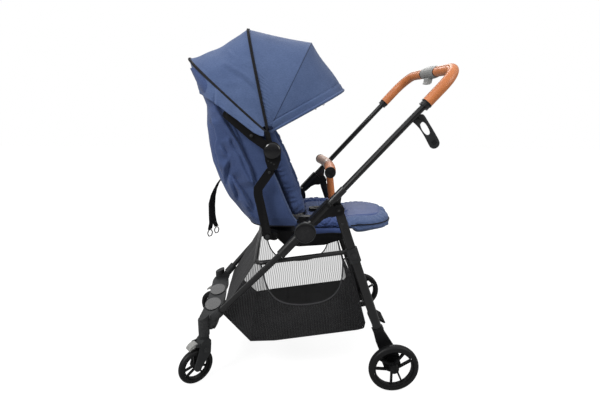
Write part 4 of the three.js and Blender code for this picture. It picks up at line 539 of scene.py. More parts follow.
def cut_of(piece, rows):
    """The flat area of a new sheet, and its width and length."""
    area = sum(face.area for face in piece.data.polygons)
    return area, (max(map(length_of, rows)), max(map(length_of, zip(*rows))))


def sewn(name, rows, thickness, material, body):
    """A sheet through rows of points, with the thickness of its cloth if it has one."""
    piece = cloth_grid(name, rows)
    if thickness:
        apply_modifier(piece, "SOLIDIFY", thickness=thickness, offset=0)
    finish(piece, material, body)
    return piece


def tube(name, points, radius, sides=16, cyclic=False):
    """A smooth tube along points, closed at its ends."""
    curve = bpy.data.curves.new(name, "CURVE")
    curve.dimensions = "3D"
    curve.bevel_depth = radius
    curve.bevel_resolution = max(sides // 4 - 1, 1)
    curve.use_fill_caps = True
    line = curve.splines.new("POLY")
    line.points.add(len(points) - 1)
    for knot, place in zip(line.points, points):
        knot.co = (*place, 1)
    line.use_cyclic_u = cyclic
    piece = bpy.data.objects.new(name, curve)
    bpy.context.collection.objects.link(piece)
    pick(piece)
    bpy.ops.object.convert(target="MESH")
    return soften(outward(bpy.context.object), 40)


def trim(name, line, radius, material, body, sides=12):
    """A finished piping, hem or binding along a line."""
    return finish(tube(name, line, radius, sides), material, body)


def turned(name, profile, centre, axis=(0, 1, 0), steps=64):
    """A profile of (radius, distance along the axis) spun about an axis through a centre."""
    direction = Vector(axis).normalized()
    side = direction.orthogonal().normalized()
    bpy.ops.object.select_all(action="DESELECT")
    bpy.ops.mesh.primitive_circle_add(vertices=len(profile), radius=1)
    piece = named(name)
    for vertex, (radius, along) in zip(piece.data.vertices, profile):
        vertex.co = Vector(centre) + side * radius / 1000 + direction * along / 1000
    bpy.ops.object.mode_set(mode="EDIT")
    select_mesh()
    bpy.ops.mesh.spin(steps=steps, angle=2 * math.pi, center=centre, axis=direction)
    select_mesh()
    bpy.ops.mesh.remove_doubles(threshold=1e-6)
    bpy.ops.mesh.delete_loose(use_faces=False)
    select_mesh()
    bpy.ops.mesh.normals_make_consistent(inside=False)
    bpy.ops.object.mode_set(mode="OBJECT")
    return soften(piece)


def joined(name, *pieces):
    pick(*pieces)
    bpy.ops.object.join()
    return named(name)


def ramp(value, low, high):
    """A smooth rise from 0 at low to 1 at high."""
    share = min(max((value - low) / (high - low), 0), 1)
    return share * share * (3 - 2 * share)


def groove(distance, width):
    """1 at a line and fading to each side of it."""
    return math.exp(-(distance / width) ** 2)


# ------------------------------------------------------------------ tether straps
TETHERS = {
    "left": ((-392.2, 706), (-387.6, 694), (-399, 676), (-412, 655), (-422, 632), (-430, 600), (-431, 560),
             (-431, 528), (-437, 503)),
    "right": ((-392.2, 706), (-387.6, 694), (-401, 676), (-416, 655), (-427, 632), (-435, 602), (-438, 566),
              (-438, 530), (-434, 500), (-428, 484)),
}
TETHER_APART = 47
TETHER_WIDTH = 0.0196
TETHER_TWIST = math.radians(40)
RING_CORNERS = ((-0.5, 0.98), (0.5, 0.98), (0.98, 0.1), (0.55, -0.9), (-0.55, -0.9), (-0.98, 0.1))


def add_tether(name, side):
    """A limp strap from the shell's back, twisted a little on its way down, with a ring at its end."""
    knots = [at(x, side * TETHER_APART, z) for x, z in TETHERS[name]]
    path = [knots[0]]
    for before, here in zip(knots, knots[1:]):
        path += [before.lerp(here, 0.5), here]
    rows = []
    for i, place in enumerate(path):
        twist = TETHER_TWIST * min(max((i / 2 - 1) / 4, 0), 1)
        across = Vector((math.sin(twist), math.cos(twist), 0)) * (TETHER_WIDTH / 2)
        bow = Vector((0.0006, 0, 0))
        rows.append([place + across * u + bow * (1 - u * u) for u in (-1, -0.5, 0, 0.5, 1)])
    strap = cloth_grid(f"tether_webbing_{name}", rows)
    apply_modifier(strap, "SOLIDIFY", thickness=0.0018, offset=0)
    finish(strap, WEBBING, "backrest")
    low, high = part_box(f"tether_ring_{name}")
    centre = (Vector(low) + Vector(high)) / 2
    turn = Vector((math.sin(TETHER_TWIST), math.cos(TETHER_TWIST), 0))
    loop = []
    for (u0, v0), (u1, v1) in zip(RING_CORNERS, (*RING_CORNERS[1:], RING_CORNERS[0])):
        for share in (0.15, 0.5, 0.85):
            u, v = u0 + (u1 - u0) * share, v0 + (v1 - v0) * share
            loop.append(centre + turn * u * 0.0118 + Vector((0, 0, v * 0.0122)))
    ring = tube(f"tether_hook_{name}", loop, 0.002, 12, cyclic=True)
    finish(ring, PLASTIC_BLACK, "backrest")
    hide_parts(f"tether_ring_{name}")
    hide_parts(f"tether_strap_{name}")


add_camera()
add_studio()
for side_name, side in SIDES:
    add_tether(side_name, side)


# ------------------------------------------------------------------ materials of the CAD nodes
def dress(material, *names):
    for name in names:
        node = nodes[name]
        node.data.materials.clear()
        node.data.materials.append(material)


def both(*stems):
    return [f"{stem}_{side}" for stem in stems for side, _ in SIDES]


def dress_nodes():
    """Every CAD node that stays in sight has a finish of its own."""
    dress(TUBE_BLACK, *both("mid_tube", "front_tube", "rear_leg"), "handle_bar", "side_rail")
    dress(PLASTIC_BLACK, *both("fold_bracket", "side_arm", "rear_rim", "castor_rim", "tether_ring"),
          "axle_beam", "brake_pedal", "harness_buckle", "seat_tray",
          *[f"canopy_bow_{bow}" for bow in BOWS])
    dress(GLOSS_BLACK, *both("hub"))
    dress(PLASTIC_CHARCOAL, *both("castor_housing", "castor_fork", "leg_slider"), "footrest", "travel_strap")
    dress(PLASTIC_GREY, "release_housing", "fold_trigger", *both("swivel_lock"))
    dress(TYRE, *both("rear_tyre", "castor_tyre"))
    dress(TAN, *both("handle_grip"), "bumper_bar", "bumper_post")
    dress(DENIM, "canopy_rear_panel", "canopy_front_panel", "canopy_visor", "back_shell")
    dress(DENIM_SEAT, "back_pad", "seat_cushion", "leg_rest")
    dress(BASKET_BLACK, "basket")
    dress(WEBBING, *both("tether_strap"), "harness_straps")


# ------------------------------------------------------------------ canopy
CANOPY_PIVOT = (-221, 860)
# Each bow's angle, its reach from the pivot and half its width
BOWS = {
    "rear": (138.3, 349, 196),
    "main": (101.6, 334, 188),
    "front": (63.4, 324, 180),
    "tip": (28.4, 292, 172),
}
# The power of a bow's outline: 2 is an ellipse, and more is squarer.
BOW_ROUNDNESS = 2.6
CANOPY_ROWS, CANOPY_COLUMNS, CANOPY_START = 480, 44, 26
CANOPY_CLOTH = 0.0014


def bow_share(turn):
    """How far out a turn lies on its bow, from 0 at the pivot to 1 at the middle."""
    return max(math.sin(turn), 0) ** (2 / BOW_ROUNDNESS)


def bow_point(bow, turn, inset=0.0):
    """Millimetres at the fold pivots: a place on a bow, from 0 at its left end to pi at its right."""
    angle, reach, half_width = BOWS[bow]
    out = (reach - inset) * bow_share(turn)
    across = math.cos(turn)
    y = -(half_width - inset) * math.copysign(abs(across) ** (2 / BOW_ROUNDNESS), across)
    lean = math.radians(angle)
    return Vector((CANOPY_PIVOT[0] + out * math.cos(lean), y, CANOPY_PIVOT[1] + out * math.sin(lean)))


def bow_turn(bow, distance):
    """The turn at which a bow is a given distance out from its pivot."""
    return math.asin((distance / BOWS[bow][1]) ** (BOW_ROUNDNESS / 2))


def even_turns(bow, start, count):
    """Turns that lie evenly along a bow's length."""
    fine = [start + (math.pi - 2 * start) * i / 2000 for i in range(2001)]
    steps = even_steps([bow_point(bow, turn) for turn in fine], count)
    return [fine[k] + (fine[k + 1] - fine[k]) * share for k, share in steps]


def canopy_cloth(name, first, last, bodies, sag, folds):
    """The cloth between two bows. Folds gives its creases at an arc distance, a share, a turn and a span."""
    turns = even_turns(first, bow_turn(first, CANOPY_START), CANOPY_ROWS)
    starts = [bow_point(first, turn) for turn in turns]
    centre = Vector((CANOPY_PIVOT[0], 0, CANOPY_PIVOT[1]))
    grid = []
    for turn, a, arc in zip(turns, starts, running_lengths(starts)):
        b = bow_point(last, turn)
        span = (b - a).length
        row = []
        for j in range(CANOPY_COLUMNS + 1):
            share = j / CANOPY_COLUMNS
            place = a.lerp(b, share)
            inward = Vector((centre.x - place.x, -place.y * 0.8, centre.z - place.z)).normalized()
            depth = sag * 4 * share * (1 - share) * min(span / 190, 1)
            depth += folds(arc, share, turn, span)
            place += inward * depth
            row.append(at(*place))
        grid.append(row)
    piece = cloth_grid(name, grid)
    area, flat = cut_of(piece, grid)
    apply_modifier(piece, "SOLIDIFY", thickness=CANOPY_CLOTH, offset=0)
    finish(piece, DENIM)
    weigh_between(piece, *bodies, BOWS[first][0], BOWS[last][0])
    return piece, flat, area


def weigh_between(piece, first_body, last_body, first_angle, last_angle):
    """Cloth between two bows follows each bow by how near it is, measured round the canopy's pivot."""
    centre = at(CANOPY_PIVOT[0], 0, CANOPY_PIVOT[1])
    low, high = (centre + Vector((math.cos(math.radians(angle)), 0, math.sin(math.radians(angle)))) * 0.2
                 for angle in (first_angle, last_angle))
    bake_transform(piece, first_body, last_body, low, high)
    weights = piece.data.attributes["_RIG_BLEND"].data
    for vertex, weight in zip(piece.data.vertices, weights):
        angle = math.degrees(math.atan2(vertex.co.z - centre.z, vertex.co.x - centre.x))
        weight.value = min(max((angle - first_angle) / (last_angle - first_angle), 0), 1)


def creased(share, turn, creases):
    """Ridges along lines that run from one bow to the other, each given by its ends, height and width."""
    out = bow_share(turn)
    total = 0.0
    for (share_a, out_a), (share_b, out_b), height, width in creases:
        along = min(max((share - share_a) / (share_b - share_a), 0), 1)
        line = out_a + (out_b - out_a) * along
        fade = ramp(along, 0.0, 0.25) * (1 - ramp(along, 0.8, 1.0) * 0.7)
        total += height * math.exp(-((out - line) / width) ** 2) * fade
    return total


REAR_CREASES = (
    ((0.35, 0.82), (0.99, 0.40), -3.6, 0.035), ((0.35, 0.74), (0.99, 0.34), 3.0, 0.05),
    ((0.55, 0.93), (0.8, 0.66), -3.2, 0.04), ((0.62, 0.86), (0.86, 0.6), 2.6, 0.05),
    ((0.1, 0.6), (0.7, 0.52), -1.8, 0.04),
)


def rear_folds(arc, share, turn, span):
    """A smooth panel with a few long creases that run down to the main bow."""
    side = 1 if math.cos(turn) > 0 else -1
    out = bow_share(turn)
    broad = noise.noise(Vector((arc * 0.009, share * 1.7, 5.5))) * 3.4
    fine = noise.noise(Vector((arc * 0.03, share * 3.4, 1.5 + side))) * 0.9
    top = ramp(out, 0.72, 1.0)
    droop = 9.5 * math.sin(math.pi * share ** 0.9) * top + 2.4 * math.sin(share * 15) * top * (1 - share)
    return (broad + fine) * math.sin(math.pi * share) + droop + creased(share, turn, REAR_CREASES)


def front_folds(arc, share, turn, span):
    """Short slanting gathers where the cloth is caught by the lower part of the main bow."""
    out = bow_share(turn)
    low = ramp(out, 0.05, 0.16) * (1 - ramp(out, 0.5, 0.68))
    reach = 26 / max(span, 20)
    near = math.exp(-(share / reach) ** 1.5) * ramp(share * span, 0.5, 4.0)
    jitter = noise.noise(Vector((arc * 0.05, 0, 9.1)))
    slant = share * span * (0.55 if math.cos(turn) > 0 else -0.55)
    gather = abs(math.sin((arc + slant) * math.pi / 13 + jitter * 2.6)) ** 0.7 - 0.6
    broad = noise.noise(Vector((arc * 0.008, share * 1.6, 1.5))) * 2.4
    return gather * near * low * 4.4 + broad * math.sin(math.pi * share)


HEM_DEPTH = 27


def visor_folds(arc, share, turn, span):
    """A smooth panel with the sewn line of its hem."""
    from_edge = (1 - share) * span
    seam = groove(from_edge - HEM_DEPTH, 1.6) * 2.0
    puff = 1.4 * ramp(HEM_DEPTH - from_edge, 0, 6)
    top = ramp(math.sin(turn), 0.8, 1.0)
    wave = math.sin(share * 2 * math.pi) * 3.2 * top
    broad = noise.noise(Vector((arc * 0.012, share * 2, 7.7))) * 2.4 * math.sin(math.pi * share)
    return broad + wave + seam - puff


CANOPY_CLOTHS = (
    ("canopy_rear_cloth", "rear", "main", ("backrest", "canopy_main"), rear_folds, "canopy_rear_panel", 2.5),
    ("canopy_front_cloth", "main", "front", ("canopy_main", "canopy_front"), front_folds,
     "canopy_front_panel", 2.0),
    ("canopy_visor_cloth", "front", "tip", ("canopy_front", "canopy_visor"), visor_folds, "canopy_visor", 0.5),
)
CANOPY_PIPINGS = (("rear", 4.4, PIPING, "backrest"), ("main", 2.7, PIPING, "canopy_main"),
                  ("front", 1.2, SEAM, "canopy_front"), ("tip", 5.2, DENIM, "canopy_visor"))


def add_canopy():
    """The three cloths on the four bows, the pipings along the bows, the rear flap and the loops."""
    for name, first, last, bodies, folds, node, sag in CANOPY_CLOTHS:
        piece, (width, length), area = canopy_cloth(name, first, last, bodies, sag, folds)
        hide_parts(node)
    for bow, radius, material, body in CANOPY_PIPINGS:
        line = bow_line(bow, 8, -1.0 if bow == "main" else 0.0)
        piping = trim(f"canopy_piping_{bow}", line, radius / 1000, material, body, 16)
        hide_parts(f"canopy_bow_{bow}")
    trim("canopy_piping_main_second", bow_line("main", 14, -1.0, -4.6), 0.0017, PIPING, "canopy_main")
    add_flap()
    for side_name, side in SIDES:
        add_visor_loops(side_name, side)


def bow_line(bow, start, inset, behind=0.0):
    """A line along a bow, moved out from it and a little behind its plane."""
    angle = math.radians(BOWS[bow][0])
    step = Vector((-math.sin(angle), 0, math.cos(angle))) * behind
    return [at(*(bow_point(bow, turn, inset) + step)) for turn in even_turns(bow, bow_turn(bow, start), 120)]


def add_visor_loops(side_name, side):
    """Two small loops under the front edge on each side, for a sun curtain."""
    loops = []
    for out in (174, 204):
        turn = bow_turn("tip", out)
        root = bow_point("tip", turn if side < 0 else math.pi - turn, 3)
        ring = [root + Vector((2.6 * math.cos(a), 0, -5.6 + 2.8 * math.sin(a)))
                for a in (math.pi * k / 8 for k in range(16))]
        loops.append(tube(f"visor_loop_{side_name}_{out}", [at(*p) for p in ring], 0.0009, 8, cyclic=True))
    finish(joined(f"visor_loops_{side_name}", *loops), PLASTIC_BLACK, "canopy_visor")


FLAP_DROP = ((0.0, 8), (0.08, 24), (0.16, 33), (0.37, 40), (0.53, 46), (0.68, 56), (0.84, 78), (1.0, 108))


def outside_shell(top, z):
    """The place just outside the shell at a height, on the same side of it as a place on the bow."""
    middle = Vector((-330, 0))
    section, _ = shell_section(z, 60)
    goal = (Vector((top.x, abs(top.y))) - middle).normalized()
    spot = max(section, key=lambda place: (place - middle).normalized().dot(goal))
    spot = spot + (spot - middle).normalized() * 6
    return Vector((spot.x, math.copysign(spot.y, top.y), z))


FLAP_CLOTH = 0.0016
FLAP_HEM = 9


def add_flap():
    """The flap that hangs from the rear bow, over the top of the shell and of the side arms."""
    turns = even_turns("rear", bow_turn("rear", 14), 300)
    tops = [bow_point("rear", turn) for turn in turns]
    rows = []
    for turn, top, arc in zip(turns, tops, running_lengths(tops)):
        out = bow_share(turn)
        low_z = top.z - between(FLAP_DROP, out)[0]
        _, rear, width = between(shell_table(), low_z)
        side = math.copysign(1, top.y)
        over_arm = 213 * (1 - ramp(out, 0.58, 0.72))
        flank = ramp(abs(top.y), 120, 168)
        low_y = side * max(abs(top.y), over_arm, (width + 9) * flank) if flank > 0 else top.y
        low = Vector((max(top.x, rear - 4), low_y, low_z))
        low = low.lerp(outside_shell(top, low_z), ramp(out, 0.6, 0.74))
        drape = noise.noise(Vector((arc * 0.021, 0, 4.4))) * 5
        drape = drape + math.sin(arc / 15 + noise.noise(Vector((arc * 0.01, 3, 0))) * 5) * 1.6
        away = Vector((-1 + flank, side * flank, 0))
        row = []
        for j in range(19):
            share = j / 18
            swing = drape * share * (0.4 + 0.6 * share) * ramp(out, 0.06, 0.3)
            place = top.lerp(low, share)
            place += away * (3 * math.sin(math.pi * share) + swing)
            place += away * (1.1 * groove((1 - share) * (top.z - low_z) - FLAP_HEM, 1.3) * -1)
            row.append(at(*place))
        rows.append(row)
    sewn("canopy_rear_flap", rows, FLAP_CLOTH, DENIM, "backrest")


# ------------------------------------------------------------------ lines of the frame
# The frame's line runs up from the fold pivots; a station is a distance along it, in millimetres.
PIVOT_Z = 631
FRAME_SLOPE = math.radians(47.7)
FRAME_OFFSET = 33
FRAME_HALF_WIDTH = 249
CROSSBAR_STATION = 552


def on_frame(station, above=0.0):
    """X and Z at a station of the frame line, and a height above it."""
    offset = FRAME_OFFSET + above
    return (math.cos(FRAME_SLOPE) * station - math.sin(FRAME_SLOPE) * offset,
            PIVOT_Z + math.sin(FRAME_SLOPE) * station + math.cos(FRAME_SLOPE) * offset)


def rounded_corners(points, times=2):
    """A route with its corners cut again and again, and its ends kept."""
    for _ in range(times):
        cut = [points[0]]
        for a, b in zip(points, points[1:]):
            cut += [a.lerp(b, 0.25), a.lerp(b, 0.75)]
        points = [*cut, points[-1]]
    return points


def even_steps(points, count):
    """Where even steps along a line fall: the point before each, and the share of the way to the next."""
    run = running_lengths(points)
    k = 0
    for i in range(count + 1):
        goal = run[-1] * i / count
        while k < len(points) - 2 and run[k + 1] < goal:
            k += 1
        span = run[k + 1] - run[k]
        yield k, (goal - run[k]) / span if span else 0


def spaced(points, count):
    """The same route with its points evenly apart."""
    return [points[k].lerp(points[k + 1], share) for k, share in even_steps(points, count)]


def lofted(name, rings, angle=50):
    """A closed body skinned through rings of points, with its two ends drawn together."""
    rows = [[*ring, ring[0]] for ring in rings]
    ends = [sum(ring, Vector()) / len(ring) for ring in (rings[0], rings[-1])]
    rows = [[ends[0]] * len(rows[0]), *rows, [ends[1]] * len(rows[0])]
    return soften(outward(cloth_grid(name, rows)), angle)


def between(table, value):
    """The row of a table at a value of its first column."""
    value = min(max(value, table[0][0]), table[-1][0])
    for low, high in zip(table, table[1:]):
        if value <= high[0]:
            share = (value - low[0]) / (high[0] - low[0])
            return [a + (b - a) * share for a, b in zip(low[1:], high[1:])]
    return list(table[-1][1:])


def press(piece, amount):
    """Moves each point along its normal by an amount in millimetres worked out from its place."""
    skin = [(v.co.copy(), v.normal.copy()) for v in piece.data.vertices]
    moved = [co + normal * (amount(millimetres(co), normal) / 1000) for co, normal in skin]
    piece.data.vertices.foreach_set("co", [value for co in moved for value in co])
    piece.data.update()


def crinkle(place, scale, seed):
    """Sharp little creases, from 0 at a crease to about 1 between creases."""
    a = abs(noise.noise(place * scale + Vector((seed, 0, 0))))
    b = abs(noise.noise(place * (scale * 2.1) + Vector((0, seed, 4))))
    return min(a * 3.2, 1) * 0.7 + min(b * 3.2, 1) * 0.3


# ------------------------------------------------------------------ back shell
SHELL_FOOT = 549
SHELL_LEVELS = ((549, -116, -290, 158), (580, -142, -316, 166), (640, -168, -360, 172), (700, -192, -389, 174),
                (760, -217, -411, 174), (820, -241, -420, 176), (880, -262, -424, 178))
SHELL_TOP = ((915, -422), (945, -425), (975, -434), (1005, -448), (1030, -459), (1056, -472))
PAD_HALF_WIDTH = 150


def under_rear_bow(z):
    """Where the shell ends against the rear bow at a height: X, and the half width."""
    angle, reach, half = BOWS["rear"]
    rise = max(z - CANOPY_PIVOT[1], 0)
    share = min(rise / math.sin(math.radians(angle)) / reach, 0.995)
    return (CANOPY_PIVOT[0] + rise / math.tan(math.radians(angle)) - 5.7,
            half * (1 - share ** BOW_ROUNDNESS) ** (1 / BOW_ROUNDNESS) - 2)


def shell_table():
    rows = list(SHELL_LEVELS)
    for z, rear in SHELL_TOP:
        x, width = under_rear_bow(z)
        rows.append((z, x, rear, min(width, 184)))
    return rows


def shell_section(z, count):
    """Half of the shell's plan at a height, from its front edge to the middle of the back."""
    front, rear, width = between(shell_table(), z)
    r = min(46, (front - rear) * 0.4)
    flange = (width - 3) + (PAD_HALF_WIDTH - 1 - (width - 3)) * (1 - ramp(z, 868, 905))
    points = [Vector((front, flange)), Vector((front, width - 3)), Vector((front - r * 0.4, width)),
              Vector((rear + r * 1.3, width - 4)), Vector((rear + r * 0.5, width - 24)),
              Vector((rear + 2, width * 0.55)), Vector((rear, 0))]
    if abs(points[0].y - points[1].y) < 0.5:
        points = points[1:]
    return spaced(rounded_corners(points, 3), count), front


# Lapped folds down each side of the shell: places in X and Z, the height of the lap and how far it reaches
LAPS = (
    (((-386, 952), (-365, 922), (-347, 891), (-326, 854), (-308, 822), (-293, 783), (-277, 751), (-268, 717),
      (-262, 684)), 7.5, 26),
    (((-362, 931), (-335, 897), (-323, 872), (-308, 838), (-300, 815)), 3.5, 12),
    (((-368, 828), (-356, 802), (-346, 782)), 6.0, 8),
    (((-340, 782), (-354, 745), (-359, 703), (-358, 684)), 6.5, 14),
    (((-347, 730), (-335, 696), (-326, 665), (-321, 632)), 6.5, 13),
    (((-343, 730), (-324, 700), (-302, 670), (-283, 635), (-268, 600)), 8.0, 18),
    (((-338, 850), (-337, 828), (-328, 812), (-312, 790), (-300, 754), (-284, 721), (-270, 694)), 3.5, 20),
    (((-396, 905), (-386, 880), (-380, 844), (-386, 812), (-378, 766), (-370, 728)), -8.0, 16),
    (((-300, 640), (-280, 600), (-262, 570)), 3.0, 12),
    (((-340, 640), (-318, 604), (-296, 572)), 4.0, 14),
)


def lap_at(x, z, line):
    """How far a place is from a line, above 0 behind it, and how full the lap is there."""
    best, signed, fade = 1e9, 0.0, 1.0
    last = len(line) - 2
    for i, ((ax, az), (bx, bz)) in enumerate(zip(line, line[1:])):
        dx, dz = bx - ax, bz - az
        along = ((x - ax) * dx + (z - az) * dz) / (dx * dx + dz * dz)
        held = min(max(along, 0), 1)
        away_x, away_z = x - ax - dx * held, z - az - dz * held
        distance = away_x * away_x + away_z * away_z
        if distance < best:
            best = distance
            signed = math.copysign(math.sqrt(distance), dx * away_z - dz * away_x)
            fade = (ramp(held, 0, 0.8) if i == 0 else 1) * (1 - ramp(held, 0.2, 1) if i == last else 1)
    return -signed, fade


def side_laps(x, z):
    total = 0.0
    for line, height, reach in LAPS:
        if not line[-1][1] - 40 < z < line[0][1] + 40:
            continue
        distance, fade = lap_at(x, z, line)
        if abs(distance) < reach * 3:
            total += 1.55 * height * math.tanh(distance / 2.0) * math.exp(-abs(distance) / reach) * fade
    return total


def shell_fold(run, z, front, side, x):
    """Drapes that fan out from the foot of the side arms and run up the back."""
    start = 26 + front + 250
    fan = (run - start) / (min(max(z, 596), 790) - 500)
    drift = noise.noise(Vector((run * 0.008, z * 0.0045, 2.0 + side * 3)))
    phase = 19 * fan + drift * 3.6 + (z - 700) * 0.004 * side
    ridge = abs(math.sin(phase)) ** 0.7
    behind = ramp(run, 165, 215)
    drawn = behind * ramp(z, 545, 640) * (1 - 0.45 * ramp(z, 940, 1040))
    size = 4.2 + 3.4 * ramp(z, 600, 800)
    soft = noise.noise(Vector((run * 0.014, z * 0.008, 5.0 + side))) * 3.4
    wing = noise.noise(Vector((run * 0.03, z * 0.012, 9.0 + side))) * 1.6 * (1 - drawn)
    laps = side_laps(x, z) * (1 - behind) * ramp(z, 548, 590)
    return (ridge - 0.66) * size * drawn + (soft * drawn + wing) * ramp(z, 548, 580) + laps


SHELL_HALF_COUNT = 120
SHELL_RISE_COUNT = 150
SHELL_FOOT_ROWS = 8
SHELL_CLOTH = 0.0018


def shell_row(z):
    """The shell's section at a height with its drapes, from the left front edge to the right one."""
    section, front = shell_section(z, SHELL_HALF_COUNT)
    halves = []
    for side in (-1, 1):
        half = []
        for i, (place, run) in enumerate(zip(section, running_lengths(section))):
            ahead = section[min(i + 1, SHELL_HALF_COUNT)] - section[max(i - 1, 0)]
            normal = Vector((ahead.y, -ahead.x)).normalized()
            if i == SHELL_HALF_COUNT:
                normal = Vector((-1, 0))
            shift = shell_fold(run, z, front, side, place.x)
            half.append((place.x + normal.x * shift, side * (place.y + normal.y * shift)))
        halves.append(half)
    left, right = halves
    left[-1] = (left[-1][0] * 0.5 + right[-1][0] * 0.5, 0.0)
    return [(x, y, z) for x, y in [*left, *reversed(right[:-1])]]


def add_shell():
    """The cloth tub behind the back pad, one sheet from wing to wing, closed under its foot."""
    rise = 1056 - SHELL_FOOT
    heights = [SHELL_FOOT + rise * i / SHELL_RISE_COUNT for i in range(SHELL_RISE_COUNT + 1)]
    grid = [shell_row(z) for z in [SHELL_FOOT] * SHELL_FOOT_ROWS + heights]
    for i in range(SHELL_FOOT_ROWS):
        share = 0.12 + 0.88 * i / SHELL_FOOT_ROWS
        grid[i] = [(-203 + (x + 203) * share, y * share, SHELL_FOOT - 3 * (1 - share)) for x, y, _ in grid[i]]
    rows = [[at(*place) for place in row] for row in grid]
    piece = sewn("back_shell_cloth", rows, SHELL_CLOTH, DENIM_SEAT, "backrest")
    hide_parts("back_shell")
    foot = [at(x, y, SHELL_FOOT - 1) for x, y, _ in grid[SHELL_FOOT_ROWS]]
    trim("back_shell_hem", foot, 0.0026, PIPING, "backrest")
    for side_name, side in SIDES:
        edge = [at(row[0 if side < 0 else -1][0] + 1.5, side * (abs(row[0][1]) + 0.5), row[0][2])
                for row in grid[10:110:3]]
        # the wing piping's lighter denim is a painted highlight along the folded edge
        trim(f"back_wing_piping_{side_name}", edge, 0.0026, DENIM_PAINTED_HIGHLIGHT, "backrest")
    add_lining()


LINING_FOOT, LINING_TOP = (-236, 874), (-447, 1036)


def add_lining():
    """The cloth between the top of the back pad and the shell's upper edge."""
    rows = []
    for i in range(31):
        share = i / 30
        x, z = (low + (high - low) * share for low, high in zip(LINING_FOOT, LINING_TOP))
        bend = math.sin(math.pi * share) * 26
        width = 146 + 12 * share - 60 * ramp(share, 0.55, 1.1)
        row = []
        for j in range(41):
            u = j / 20 - 1
            wave = noise.noise(Vector((u * 2.2, share * 3, 6))) * 4 * (1 - u * u)
            row.append(at(x - bend * 0.85 + wave - 14 * (1 - u * u), u * width, z - bend * 0.5))
        rows.append(row)
    sewn("back_shell_lining", rows, 0.0014, DENIM_SEAT, "backrest")


# ------------------------------------------------------------------ padded covers
FILL_PRESSURE = 4.0
FILL_STEPS = 20


def padded_cover(name, node, inset, cap, voxel):
    """A filled cover, blown up by cloth simulation from a slightly smaller copy of its solid."""
    piece = bpy.data.objects.new(name, nodes[node].data.copy())
    piece.data.name = name
    bpy.context.collection.objects.link(piece)
    outward(piece)
    apply_modifier(piece, "REMESH", mode="VOXEL", voxel_size=voxel / 1000)
    apply_modifier(piece, "SMOOTH", factor=0.5, iterations=4)
    press(piece, lambda place, normal: -inset)
    start = [vertex.co.copy() for vertex in piece.data.vertices]
    pick(piece)
    modifier = piece.modifiers.new("filling", "CLOTH")
    modifier.settings.use_pressure = True
    modifier.settings.uniform_pressure_force = FILL_PRESSURE
    modifier.settings.effector_weights.gravity = 0
    for step in range(1, FILL_STEPS + 1):
        bpy.context.scene.frame_set(step)
    bpy.ops.object.modifier_apply(modifier="filling")
    bpy.context.scene.frame_set(1)
    for vertex, was in zip(piece.data.vertices, start):
        move = vertex.co - was
        if move.length > cap / 1000:
            vertex.co = was + move.normalized() * (cap / 1000)
    apply_modifier(piece, "SUBSURF", levels=1, render_levels=1)
    bpy.ops.object.shade_smooth()
    return piece


def use_panel(piece, material, inside):
    """Gives the faces of a sewn-on panel their own cloth."""
    piece.data.materials.append(material)
    for face in piece.data.polygons:
        if inside(millimetres(face.center), face.normal):
            face.material_index = 1


BACK_LEAN = math.radians(22)
BACK_START = (-78, 590)


def on_back(distance, behind):
    return (BACK_START[0] - math.sin(BACK_LEAN) * distance - math.cos(BACK_LEAN) * behind,
            BACK_START[1] + math.cos(BACK_LEAN) * distance - math.sin(BACK_LEAN) * behind)


def back_place(place):
    """How far up the back pad a place is, and how far behind its front."""
    dx, dz = place.x - BACK_START[0], place.z - BACK_START[1]
    return (-math.sin(BACK_LEAN) * dx + math.cos(BACK_LEAN) * dz,
            -math.cos(BACK_LEAN) * dx - math.sin(BACK_LEAN) * dz)


def back_stitching(place, normal):
    up, behind = back_place(place)
    side = ramp(abs(place.y), 122, 140)
    front = 1 - ramp(behind, 44, 56)
    drift = noise.noise(Vector((up * 0.03, behind * 0.03, place.y * 0.02)))
    pucker = math.sin(up * 2 * math.pi / 19 + drift * 4) * math.exp(-((behind - 42) / 15) ** 2) * 1.7 * side
    rolls = noise.noise(Vector((up * 0.045, behind * 0.012, place.y * 0.004 + 3))) * 2.4 * side
    seams = -3.4 * groove(abs(place.y) - 104, 4) * front
    channels = -2.6 * max(groove(up - k, 4) for k in (70, 150, 230)) * (1 - side) * front
    edge = -2.2 * groove(behind - 55, 3) * side
    return pucker + rolls + seams + channels + edge + drift * 1.0


def cushion_stitching(place, normal):
    side = ramp(abs(place.y), 110, 122)
    creases = (crinkle(place, 0.045, 3) - 0.62) * (1.2 + 4.0 * side)
    seams = -3.0 * groove(abs(place.y) - 112, 4) - 2.2 * groove(place.x + 30, 3.5) * (1 - side)
    upper = ramp(place.z, 532, 540)
    return (creases + seams) * upper


LEG_REST_PIVOT = (47, 520)
LEG_REST_LENGTH = 176
LEG_REST_HALF_WIDTH = 150


def leg_panel(place):
    """Below 1 inside the oval panel on the leg rest, and above 1 outside it."""
    along = (place.x - LEG_REST_PIVOT[0] - 4) / LEG_REST_LENGTH
    return abs((along - 0.35) / 0.44) ** 2.5 + abs(place.y / (LEG_REST_HALF_WIDTH * 0.66)) ** 2.5


def leg_stitching(place, normal):
    top = ramp(normal.z, 0.2, 0.5)
    panel = leg_panel(place)
    seam = -1.8 * groove((panel - 1) / 0.035, 2.2) * top
    rim = ramp(panel, 1.0, 1.3)
    angle = math.atan2(place.y, place.x - 120)
    gather = math.sin(angle * 34 + noise.noise(place * 0.02) * 4) * 0.8 * rim * (1 - ramp(panel, 1.5, 2.6))
    soft = noise.noise(place * 0.018) * 2.2
    deeper = 9.0 * ramp(-normal.z, 0.1, 0.7) * ramp(place.x, 60, 90)
    return seam + gather * top + soft + deeper


RIM_STEPS = 70


